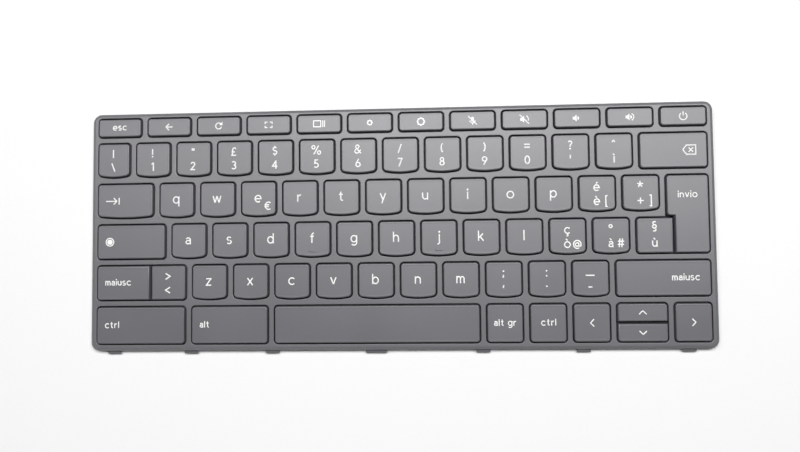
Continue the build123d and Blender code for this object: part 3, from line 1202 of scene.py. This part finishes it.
LETTER_A = [
    line((0.7, 0.0), (0.7, 0.62)) + oval(0.4, 0.62, 0.3, 0.3, 0, 155),
    line((0.7, 0.55), (0.36, 0.55)) + oval(0.34, 0.315, 0.26, 0.235, 90, 270)
    + oval(0.4, 0.32, 0.3, 0.24, 270, 350),
]
LETTER_C = [oval(0.48, 0.5, 0.45, 0.46, 42, 318)]
LETTER_E = [line((0.08, 0.5)) + oval(0.48, 0.5, 0.42, 0.46, 0, 312)]
LETTER_O = [oval(0.48, 0.5, 0.45, 0.46)]
LETTER_U = [line((0.08, 1.0)) + oval(0.42, 0.42, 0.34, 0.34, 180, 360), stem(0.76, 0.0, 1.0)]
ROUND_BRACKET = [oval(0.62, 0.66, 0.52, 0.85, 122, 238)]
SQUARE_BRACKET = [line((0.36, 1.46), (0.08, 1.46), (0.08, -0.26), (0.36, -0.26))]
LESS_SIGN = [line((0.8, 1.08), (0.04, 0.6), (0.8, 0.12))]

GLYPHS = {
    "a": LETTER_A,
    "b": [stem(0.08, 0.0, 1.42), bowl(0.47)],
    "c": LETTER_C,
    "d": [stem(0.84, 0.0, 1.42), bowl(0.45)],
    "e": LETTER_E,
    "f": [stem(0.26, 0.0, 1.1) + oval(0.52, 1.1, 0.26, 0.26, 180, 80), line((0.02, 0.92), (0.54, 0.92))],
    "g": [bowl(0.45), line((0.84, 1.0)) + oval(0.46, -0.04, 0.38, 0.34, 0, -145)],
    "h": [stem(0.08, 0.0, 1.42), arch(0.08, 0.76)],
    "i": [stem(0.08, 0.0, 1.0), dot(0.08, 1.32)],
    "j": [line((0.3, 1.0)) + oval(0.06, -0.14, 0.24, 0.24, 0, -100), dot(0.3, 1.32)],
    "k": [stem(0.08, 0.0, 1.42), line((0.7, 1.0), (0.1, 0.4)), line((0.3, 0.6), (0.76, 0.0))],
    "l": [stem(0.08, 0.0, 1.42)],
    "m": [stem(0.08, 0.0, 1.0), arch(0.08, 0.58), arch(0.58, 1.08)],
    "n": [stem(0.08, 0.0, 1.0), arch(0.08, 0.76)],
    "o": LETTER_O,
    "p": [stem(0.08, -0.42, 1.0), bowl(0.47)],
    "q": [stem(0.84, -0.42, 1.0), bowl(0.45)],
    "r": [stem(0.08, 0.0, 1.0), oval(0.44, 0.5, 0.36, 0.42, 180, 72)],
    "s": [oval(0.36, 0.73, 0.28, 0.23, 35, 270) + oval(0.36, 0.27, 0.3, 0.23, 90, -150)],
    "t": [line((0.26, 1.32)) + oval(0.5, 0.3, 0.24, 0.22, 180, 290), line((0.02, 0.92), (0.54, 0.92))],
    "u": LETTER_U,
    "v": [line((0.04, 1.0), (0.42, 0.04)), line((0.8, 1.0), (0.42, 0.04))],
    "w": [
        line((0.02, 1.0), (0.3, 0.04)), line((0.58, 0.96), (0.3, 0.04)),
        line((0.58, 0.96), (0.86, 0.04)), line((1.14, 1.0), (0.86, 0.04)),
    ],
    "x": [line((0.04, 1.0), (0.76, 0.0)), line((0.76, 1.0), (0.04, 0.0))],
    "y": [line((0.04, 1.0), (0.42, 0.06)), line((0.8, 1.0), (0.26, -0.42))],
    "z": [line((0.06, 0.95), (0.72, 0.95), (0.08, 0.05), (0.78, 0.05))],
    "0": [oval(0.42, 0.69, 0.36, 0.61)],
    "1": [line((0.06, 1.1), (0.36, 1.34)), stem(0.36, 0.0, 1.38)],
    "2": [oval(0.4, 0.98, 0.32, 0.32, 165, -35) + line((0.08, 0.08), (0.78, 0.08))],
    "3": [oval(0.36, 1.0, 0.29, 0.3, 145, -90), oval(0.36, 0.39, 0.34, 0.31, 90, -150)],
    "4": [line((0.6, 1.32), (0.04, 0.4), (0.84, 0.4)), stem(0.6, 0.0, 1.38)],
    "5": [line((0.7, 1.3), (0.2, 1.3), (0.15, 0.73)) + oval(0.37, 0.44, 0.34, 0.36, 125, -145)],
    "6": [oval(0.42, 0.43, 0.35, 0.35), line((0.11, 0.6), (0.56, 1.38))],
    "7": [line((0.06, 1.3), (0.74, 1.3), (0.26, 0.0))],
    "8": [oval(0.4, 1.02, 0.27, 0.28), oval(0.4, 0.41, 0.33, 0.33)],
    "9": [oval(0.4, 0.95, 0.35, 0.35), line((0.71, 0.78), (0.26, 0.0))],
    "|": [stem(0.1, 0.0, 1.38)],
    "\\": [line((0.04, 1.38), (0.56, 0.0))],
    "!": [stem(0.08, 0.42, 1.38), dot(0.08, 0.1)],
    '"': [stem(0.08, 0.98, 1.38), stem(0.36, 0.98, 1.38)],
    "£": [
        oval(0.5, 1.0, 0.28, 0.3, 25, 180) + line((0.22, 0.4), (0.1, 0.08), (0.82, 0.08)),
        line((0.04, 0.62), (0.6, 0.62)),
    ],
    "$": [
        oval(0.4, 0.98, 0.3, 0.27, 35, 270) + oval(0.4, 0.42, 0.32, 0.29, 90, -150),
        stem(0.4, 1.2, 1.5), stem(0.4, -0.12, 0.2),
    ],
    "%": [oval(0.26, 1.14, 0.26, 0.28), oval(1.18, 0.26, 0.26, 0.28), line((1.12, 1.42), (0.32, -0.02))],
    "&": [
        line((1.04, 0.0), (0.26, 0.9)),
        oval(0.46, 1.1, 0.27, 0.27, 215, -35) + line((0.26, 0.64))
        + oval(0.4, 0.36, 0.36, 0.33, 118, 325) + line((1.0, 0.62)),
    ],
    "/": [line((0.04, -0.04), (0.54, 1.4))],
    "(": ROUND_BRACKET,
    ")": turned(ROUND_BRACKET, 0.2),
    "=": [line((0.0, 0.94), (0.9, 0.94)), line((0.0, 0.46), (0.9, 0.46))],
    "?": [oval(0.34, 1.05, 0.28, 0.27, 160, -50) + line((0.34, 0.64), (0.34, 0.4)), dot(0.34, 0.1)],
    "'": [stem(0.08, 0.78, 1.38)],
    "^": [line((0.04, 1.02), (0.26, 1.36)), line((0.48, 1.02), (0.26, 1.36))],
    "ì": [stem(0.2, 0.0, 1.0), grave(0.2)],
    "é": [*LETTER_E, acute(0.46)],
    "è": [*LETTER_E, grave(0.46)],
    "ò": [*LETTER_O, grave(0.46)],
    "à": [*LETTER_A, grave(0.42)],
    "ù": [*LETTER_U, grave(0.42)],
    "ç": [*LETTER_C, line((0.48, 0.06)) + oval(0.42, -0.24, 0.15, 0.12, 70, -140)],
    "*": star(0.5, 0.94, 0.5),
    "+": [line((0.0, 0.6), (1.0, 0.6)), stem(0.5, 0.1, 1.1)],
    "°": [oval(0.24, 1.1, 0.24, 0.24)],
    "§": [
        oval(0.34, 1.53, 0.24, 0.2, 30, 235),
        oval(0.34, 0.98, 0.28, 0.28),
        oval(0.34, 0.43, 0.24, 0.2, -150, 55),
    ],
    "<": LESS_SIGN,
    ">": turned(LESS_SIGN, 0.42),
    ",": [line((0.16, 0.92), (0.04, 0.48))],
    ";": [dot(0.14, 0.9), line((0.18, 0.3), (0.06, -0.14))],
    ".": [dot(0.1, 0.7)],
    ":": [dot(0.1, 0.9), dot(0.1, 0.1)],
    "_": [line((0.0, 0.1), (1.4, 0.1))],
    "-": [line((0.04, 0.5), (0.64, 0.5))],
    "[": SQUARE_BRACKET,
    "]": turned(SQUARE_BRACKET, 0.22),
    "@": [
        oval(0.64, 0.5, 0.27, 0.28),
        line((0.91, 0.78)) + oval(1.07, 0.36, 0.16, 0.14, 180, 340) + oval(0.66, 0.52, 0.6, 0.64, 0, 302),
    ],
    "#": [
        line((0.24, 0.0), (0.38, 1.38)), line((0.64, 0.0), (0.78, 1.38)),
        line((0.04, 0.94), (1.02, 0.94)), line((0.0, 0.44), (0.98, 0.44)),
    ],
    "€": [
        oval(0.68, 0.69, 0.52, 0.61, 50, 310),
        line((0.0, 0.84), (0.8, 0.84)),
        line((0.0, 0.54), (0.74, 0.54)),
    ],
}

# Lines lie in layers, each a little above the last, so that no two faces share a plane, in millimetres.
LAYERS = 5
LAYER_STEP = 0.004

# A line that turns by more than this is cut at the turn.
SHARP_TURN = radians(50)

# In heights of a small letter x: a figure's middle, the gaps between letters and words, a dot's radius.
FIGURE_MIDDLE = 0.69
LETTER_GAP = 0.4
WORD_GAP = 0.6
DOT_RADIUS = 0.13

PAIRED = {
    "bar": "|\\", "1": "!1", "2": '"2', "3": "£3", "4": "$4", "5": "%5", "6": "&6", "7": "/7", "8": "(8",
    "9": ")9", "0": "=0", "apostrophe": "?'", "i_grave": "^ì", "e_grave": "éè", "plus": "*+",
    "o_grave": "çò", "a_grave": "°à", "u_grave": "§ù", "less": "><", "comma": ";,", "period": ":.",
    "minus": "_-",
}
THIRD = {"e": "€", "e_grave": "[", "plus": "]", "o_grave": "@", "a_grave": "#"}
LEFT_WORDS = {"left_shift": "maiusc", "left_ctrl": "ctrl", "left_alt": "alt"}
RIGHT_WORDS = {"right_shift": "maiusc"}
MIDDLE_WORDS = {"esc": "esc", "right_alt": "alt gr", "right_ctrl": "ctrl", "enter": "invio"}
LEFT_SIGNS = ("tab", "launcher")
RIGHT_SIGNS = ("backspace",)


class Sign(NamedTuple):
    """A drawn sign, in millimetres from its middle: lines, and filled areas with their holes."""

    lines: list
    areas: list = []


def ray_ring(points, outer, inner):
    """The outline of a small sun, with pointed rays."""
    ring = []
    for step in range(2 * points):
        turn, reach = step / points * pi, inner if step % 2 else outer
        ring.append((reach * cos(turn), reach * sin(turn)))
    return ring


def chevron(quarter_turns):
    """An arrow head that points right, turned anticlockwise."""
    turn = Matrix.Rotation(quarter_turns * pi / 2, 2)
    spots = ((-0.75, 1.55), (0.75, 0.0), (-0.75, -1.55))
    upper, tip, lower = [tuple(turn @ Vector(spot)) for spot in spots]
    return Sign([line(upper, tip), line(lower, tip)])


HORN = [(-1.8, 0.6), (-1.8, -0.6), (-1.1, -0.6), (-0.2, -1.45), (-0.2, 1.45), (-1.1, 0.6)]
NEAR_WAVE = [(0.25, -0.8), (0.25, 0.8), *oval(0.2, 0, 0.65, 0.8, 80, -80)]
SIGNS = {
    "back": Sign([
        line((1.6, 0.0), (-1.5, 0.0)), line((0.0, 1.45), (-1.45, 0.0)), line((0.0, -1.45), (-1.45, 0.0)),
    ]),
    "reload": Sign([oval(0, 0, 1.35, 1.35, 45, 345)], [[[(1.7, 1.8), (0.2, 0.35), (1.7, 0.35)]]]),
    "full_screen": Sign([
        line((-1.55, 0.4), (-1.55, 1.3)), line((-1.8, 1.2), (-0.55, 1.2)),
        line((0.55, 1.2), (1.8, 1.2)), line((1.55, 1.3), (1.55, 0.4)),
        line((1.55, -0.4), (1.55, -1.3)), line((1.8, -1.2), (0.55, -1.2)),
        line((-0.55, -1.2), (-1.8, -1.2)), line((-1.55, -1.3), (-1.55, -0.4)),
    ]),
    "overview": Sign(
        [stem(1.7, -1.5, 1.5), stem(2.5, -1.5, 1.5)],
        [[
            [(-2.6, -1.55), (1.0, -1.55), (1.0, 1.55), (-2.6, 1.55)],
            [(-2.2, -1.15), (0.6, -1.15), (0.6, 1.15), (-2.2, 1.15)],
        ]],
    ),
    "dim": Sign([], [[ray_ring(8, 1.4, 1.1), oval(0, 0, 0.68, 0.68)[1:]]]),
    "bright": Sign([], [[ray_ring(8, 1.95, 1.62), oval(0, 0, 1.18, 1.18)[1:]]]),
    "mic_off": Sign(
        [oval(0, 0.15, 1.25, 1.25, 190, 350), stem(0.0, -1.9, -1.1), line((-1.9, 1.9), (1.9, -1.9))],
        [[oval(0, 0.95, 0.62, 0.62, 0, 180) + oval(0, 0.15, 0.62, 0.62, 180, 360)]],
    ),
    "mute": Sign([oval(-0.1, 0, 1.75, 1.75, -20, 60), line((-2.1, 2.0), (1.9, -2.0))], [[HORN]]),
    "quieter": Sign([], [[HORN], [NEAR_WAVE]]),
    "louder": Sign([oval(0.1, 0, 1.55, 1.6, -65, 65)], [[HORN], [NEAR_WAVE]]),
    "power": Sign([oval(0, -0.15, 1.6, 1.6, 125, 415), stem(0.0, 0.1, 1.95)]),
    "backspace": Sign([
        line((-2.75, 0.0), (-1.2, 2.0), (2.7, 2.0), (2.7, -2.0), (-1.2, -2.0), (-2.75, 0.0)),
        line((-0.25, 0.95), (1.55, -0.95)), line((-0.25, -0.95), (1.55, 0.95)),
    ]),
    "tab": Sign([
        line((-3.1, 0.0), (1.9, 0.0)), line((0.4, 1.45), (1.9, 0.0)), line((0.4, -1.45), (1.9, 0.0)),
        stem(2.9, -1.5, 1.5),
    ]),
    "launcher": Sign([oval(0, 0, 1.75, 1.75)], [[oval(0, 0, 1.2, 1.2)[1:]]]),
    "left": chevron(2),
    "right": chevron(0),
    "up": chevron(1),
    "down": chevron(3),
}


def stroke_tree():
    """Lays a flat band of ink along each line."""
    tree, given = node_tree("Printed lines", ("Stroke", "Ink"))
    paths = add_node(tree, "GeometryNodeMeshToCurve", {"Mesh": given["Geometry"]})
    level = add_node(tree, "GeometryNodeSetCurveNormal", {"Curve": paths.outputs["Curve"]}, mode="Z_UP")
    section = add_node(
        tree, "GeometryNodeCurvePrimitiveQuadrilateral", {"Width": given["Stroke"], "Height": given["Ink"]}
    )
    bands = add_node(
        tree,
        "GeometryNodeCurveToMesh",
        {"Curve": level.outputs["Curve"], "Profile Curve": section.outputs["Curve"], "Fill Caps": True},
    )
    end_tree(tree, bands.outputs["Mesh"], given["Material"])
    return tree


def cut_at_corners(points, reach):
    """Cuts a line where it turns sharply. Both pieces run on past the corner, so that it is filled."""
    spots = [Vector(point) for point in points]
    pieces = [[spots[0]]]
    for before, here, after in zip(spots, spots[1:], spots[2:]):
        coming, going = (here - before).normalized(), (after - here).normalized()
        if coming.angle(going, 0.0) < SHARP_TURN:
            pieces[-1].append(here)
        else:
            pieces[-1].append(here + reach * coming)
            pieces.append([here - reach * going])
    pieces[-1].append(spots[-1])
    return [[(spot.x, spot.y) for spot in piece] for piece in pieces]


def paths_mesh(name, lines, level):
    """The edges along some lines, at a level. A line that ends where it starts is closed."""
    verts, edges = [], []
    for number, points in enumerate(lines):
        closed = len(points) > 2 and (Vector(points[0]) - Vector(points[-1])).length < TOUCHING
        kept = points[:-1] if closed else points
        start = len(verts)
        height = level + number % LAYERS * LAYER_STEP
        verts += [(x * MM, y * MM, height * MM) for x, y in kept]
        edges += [(start + step, start + step + 1) for step in range(len(kept) - 1)]
        if closed:
            edges.append((len(verts) - 1, start))
    mesh = bpy.data.meshes.new(name)
    mesh.from_pydata(verts, edges, [])
    return mesh


def set_text(text, size):
    """The lines of a text that starts at 0, 0, and its width, in millimetres."""
    lines, left = [], 0.0
    for letter in text:
        if letter == " ":
            left += WORD_GAP
            continue
        glyph = GLYPHS[letter]
        first = min(x for points in glyph for x, _ in points)
        last = max(x for points in glyph for x, _ in points)
        lines += [[((left + x - first) * size, y * size) for x, y in points] for points in glyph]
        left += last - first + LETTER_GAP
    return lines, (left - LETTER_GAP) * size


def moved(lines, x, y):
    """Lines shifted by x and y."""
    return [[(x + across, y + along) for across, along in points] for points in lines]


class Printer:
    """Draws the legends of one cap after another."""

    def __init__(self, settings, caps, ink):
        self.settings = settings
        self.ink = ink
        self.strokes = stroke_tree()
        self.level = CAP_TOP - caps.dish_depth / MM
        self.thickness = settings.ink / MM

    def draw(self, lines, stroke):
        """Prints lines with a stroke of that width."""
        values = {"Stroke": stroke, "Ink": self.settings.ink, "Material": self.ink}
        pieces = [piece for points in lines for piece in cut_at_corners(points, stroke / MM / 2)]
        return grow("legend", paths_mesh("legend", pieces, self.level), self.strokes, values)

    def fill(self, outlines):
        """Prints an area inside its first outline and outside the others."""
        top, low = self.level + self.thickness / 2, self.level - self.thickness / 2
        mesh = perforated("legend", [[(points, top), (points, low)] for points in outlines])
        mesh.materials.append(self.ink)
        return mesh

    def text(self, text, x, middle, size, stroke, align=0.5):
        """Prints a text. The share of its width that lies left of x is its alignment."""
        lines, width = set_text(text, size)
        placed = moved(lines, x - align * width, middle)
        radius = DOT_RADIUS * size
        parts = [self.fill([oval(*points[0], radius, radius)[1:]]) for points in placed if len(points) == 1]
        strokes = [points for points in placed if len(points) > 1]
        if strokes:
            parts.append(self.draw(strokes, stroke))
        return parts

    def sign(self, name, x, y):
        """Prints a drawn sign, centred on x and y."""
        sign = SIGNS[name]
        parts = [self.fill([moved([points], x, y)[0] for points in outlines]) for outlines in sign.areas]
        if sign.lines:
            parts.append(self.draw(moved(sign.lines, x, y), self.settings.sign_stroke))
        return parts

    def words(self, name):
        """The word on a cap, at its left side, at its right side or in the middle."""
        settings, area = self.settings, AREAS[name]
        x, y = area.centre
        size, margin = settings.word / MM, settings.margin / MM
        if name == "enter":
            y = (AREAS["u_grave"].back + SPLIT_GAP + area.back) / 2
        for words, start, align in (
            (LEFT_WORDS, area.left + margin, 0.0),
            (RIGHT_WORDS, area.right - settings.right_margin / MM, 1.0),
            (MIDDLE_WORDS, x, 0.5),
        ):
            if name in words:
                return self.text(words[name], start, y - size / 2, size, settings.word_stroke, align)
        return []

    def symbols(self, name):
        """The letter on a cap, or its two symbols one behind the other, and the third beside them."""
        settings = self.settings
        x, y = AREAS[name].centre
        x -= settings.slip / MM
        letter, figure, spread = settings.letter / MM, settings.figure / MM, settings.spread / MM
        base = y - FIGURE_MIDDLE * figure
        marks = []
        if name in LETTERS:
            marks.append((name, x, y + settings.lift / MM - letter / 2, letter))
        if name in PAIRED:
            upper, lower = PAIRED[name]
            marks += [(upper, x, base + spread, figure), (lower, x, base - spread, figure)]
        if name in THIRD:
            marks.append((THIRD[name], x + settings.third / MM, base - spread, figure))
        return [part for mark in marks for part in self.text(*mark, settings.stroke)]

    def legend(self, name):
        """All that is printed on one cap."""
        parts = self.words(name) + self.symbols(name)
        if name in SIGNS:
            area, settings = AREAS[name], self.settings
            x, y = area.centre
            reach = max((point[0] for points in SIGNS[name].lines for point in points), default=0.0)
            if name in LEFT_SIGNS:
                x = area.left + settings.margin / MM + reach
            if name in RIGHT_SIGNS:
                x = area.right - settings.right_margin / MM - reach
            parts += self.sign(name, x, y)
        return parts


class KEYBOARD_OT_legends(Operator):
    """Prints the legends, those of each moving key on its own body"""

    bl_idname = "keyboard.legends"
    bl_label = "Legends"

    def execute(self, context):
        settings = context.scene.keyboard_legends
        # Pad-printed ink: a thin opaque white film, a little duller than the cap and uneven in its cover.
        ink = cloudy("pad-printed ink", settings.colour, grain=1.2, spread=0.03, roughness=0.45)
        printer = Printer(settings, context.scene.keyboard_caps, ink)
        fixed = []
        for name in AREAS:
            parts = printer.legend(name)
            if name in FIXED_KEYS:
                fixed += parts
            elif parts:
                made = new_object(f"legend_{name}", fused(f"legend_{name}", parts))
                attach(made, f"key_{name}")
        made = new_object("fixed_legends", fused("fixed_legends", fixed))
        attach(made, "chassis")
        return {"FINISHED"}


# Stage


# Width and height of a high lamp and of the low one, in metres.
HIGH_LAMP = (0.45, 0.34)
LOW_LAMP = (1.2, 0.5)

# The floor, in metres: the radius of its flat part, the radius of the sweep round it, and how far below the
# keyboard it lies.
FLOOR_REACH = 1.5
FLOOR_SWEEP = 1.5
FLOOR_GAP = 0.00002
FLOOR_SIDES = 64
FLOOR_STEPS = 12

# How far from the keyboard the floor starts to be lifted to white, and where it is lifted most, in metres.
GLOW_NEAR = 0.25
GLOW_FAR = 1.3

# The nearest and the farthest that the camera sees, in metres.
CAMERA_CLIP = (0.01, 20.0)
WHITE = (1.0, 1.0, 1.0, 1.0)


class KEYBOARD_OT_stage(Operator):
    """Lays the floor and sets the lights and the camera"""

    bl_idname = "keyboard.stage"
    bl_label = "Stage"

    def execute(self, context):
        scene, settings = context.scene, context.scene.keyboard_stage
        floor = new_object("floor", self.floor_mesh())
        floor.data.materials.append(self.paper(settings))

        self.softbox("left_softbox", HIGH_LAMP, settings.left_place, settings.left_light)
        self.softbox("middle_softbox", HIGH_LAMP, settings.middle_place, settings.middle_light)
        self.softbox("right_softbox", HIGH_LAMP, settings.right_place, settings.right_light)
        self.softbox("front_softbox", LOW_LAMP, settings.front_place, settings.front_light)

        world = bpy.data.worlds.new("studio")
        world.use_nodes = True
        world.node_tree.nodes.clear()
        glow = add_node(
            world.node_tree,
            "ShaderNodeBackground",
            {"Color": WHITE, "Strength": settings.fill_light},
        )
        add_node(world.node_tree, "ShaderNodeOutputWorld", {"Surface": glow.outputs["Background"]})
        scene.world = world

        camera = bpy.data.objects.new("camera", bpy.data.cameras.new("camera"))
        scene.collection.objects.link(camera)
        camera.location = settings.camera_place
        camera.rotation_euler = settings.camera_turn
        camera.data.lens = settings.focal_length
        camera.data.clip_start, camera.data.clip_end = CAMERA_CLIP
        scene.camera = camera
        scene.view_settings.view_transform = "Standard"
        return {"FINISHED"}

    def floor_mesh(self):
        """A round floor whose rim sweeps up all the way round, as a backdrop from every side. Metres."""
        made = bmesh.new()
        bends = [radians(90 * step / FLOOR_STEPS) for step in range(FLOOR_STEPS + 1)]
        profile = [(FLOOR_REACH + FLOOR_SWEEP * sin(bend), FLOOR_SWEEP * (1 - cos(bend))) for bend in bends]
        turns = [2 * pi * step / FLOOR_SIDES for step in range(FLOOR_SIDES)]
        rings = [
            [made.verts.new((out * cos(turn), out * sin(turn), up - FLOOR_GAP)) for turn in turns]
            for out, up in profile
        ]
        made.faces.new(rings[0])
        for lower, upper in zip(rings, rings[1:]):
            for side in range(FLOOR_SIDES):
                after = (side + 1) % FLOOR_SIDES
                made.faces.new((lower[after], lower[side], upper[side], upper[after])).smooth = True
        bmesh.ops.recalc_face_normals(made, faces=made.faces)
        return mesh_data("floor", made)

    def softbox(self, name, size, place, power):
        """Hangs a soft lamp somewhere, turned to the keyboard. Metres and watts."""
        lamp = bpy.data.lights.new(name, "AREA")
        lamp.shape = "RECTANGLE"
        lamp.size, lamp.size_y = size
        lamp.energy = power
        made = bpy.data.objects.new(name, lamp)
        bpy.context.scene.collection.objects.link(made)
        made.location = place
        made.rotation_euler = (-Vector(place)).to_track_quat("-Z", "Y").to_euler()

    def paper(self, settings):
        """White paper that takes the keyboard's shadow, and stays pale where it lies far from the lamps."""
        material, tree, place, shader = new_material("white paper")
        fibre = noise(tree, place, 0.8, 2.0)
        rays = add_node(tree, "ShaderNodeLightPath").outputs
        seen = reckon(tree, "MAXIMUM", rays["Is Camera Ray"], rays["Is Glossy Ray"])
        seen = reckon(tree, "MAXIMUM", seen, rays["Is Transmission Ray"])
        away = add_node(tree, "ShaderNodeVectorMath", {0: place}, operation="LENGTH")
        lift = add_node(
            tree,
            "ShaderNodeMapRange",
            {
                "Value": away.outputs["Value"],
                "From Min": GLOW_NEAR,
                "From Max": GLOW_FAR,
                "To Max": settings.floor_glow,
            },
        )
        set_inputs(tree, shader, {
            "Base Color": mottled(tree, fibre, settings.floor_colour, 0.01),
            "Roughness": 0.9,
            "Specular IOR Level": 0.0,
            "Emission Color": WHITE,
            "Emission Strength": reckon(tree, "MULTIPLY", seen, lift.outputs["Result"]),
        })
        return material


class KEYBOARD_PT_panel(Panel):
    """The keyboard's pieces and settings"""

    bl_idname = "KEYBOARD_PT_panel"
    bl_label = "Laptop Keyboard"
    bl_space_type = "VIEW_3D"
    bl_region_type = "UI"
    bl_category = "Keyboard"

    def draw(self, context):
        for operator in OPERATORS:
            self.layout.operator(operator.bl_idname)
        for name, group in SETTINGS.items():
            settings = getattr(context.scene, name)
            box = self.layout.box()
            for prop in group.__annotations__:
                box.prop(settings, prop)


SETTINGS = {
    "keyboard_caps": CapSettings,
    "keyboard_frame": FrameSettings,
    "keyboard_legends": LegendSettings,
    "keyboard_works": WorksSettings,
    "keyboard_stage": StageSettings,
}
OPERATORS = (
    KEYBOARD_OT_plate,
    KEYBOARD_OT_sheet,
    KEYBOARD_OT_works,
    KEYBOARD_OT_frame,
    KEYBOARD_OT_caps,
    KEYBOARD_OT_legends,
    KEYBOARD_OT_stage,
)


def register():
    for group in (*SETTINGS.values(), *OPERATORS, KEYBOARD_PT_panel):
        bpy.utils.register_class(group)
    for name, group in SETTINGS.items():
        setattr(bpy.types.Scene, name, PointerProperty(type=group))


def unregister():
    for name in SETTINGS:
        delattr(bpy.types.Scene, name)
    for group in reversed((*SETTINGS.values(), *OPERATORS, KEYBOARD_PT_panel)):
        bpy.utils.unregister_class(group)


def main():
    """Registers the add-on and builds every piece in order."""
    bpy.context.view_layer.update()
    register()
    bpy.ops.keyboard.plate()
    bpy.ops.keyboard.sheet()
    bpy.ops.keyboard.works()
    bpy.ops.keyboard.frame()
    bpy.ops.keyboard.caps()
    bpy.ops.keyboard.legends()
    bpy.ops.keyboard.stage()


if __name__ == "__main__":
    main()
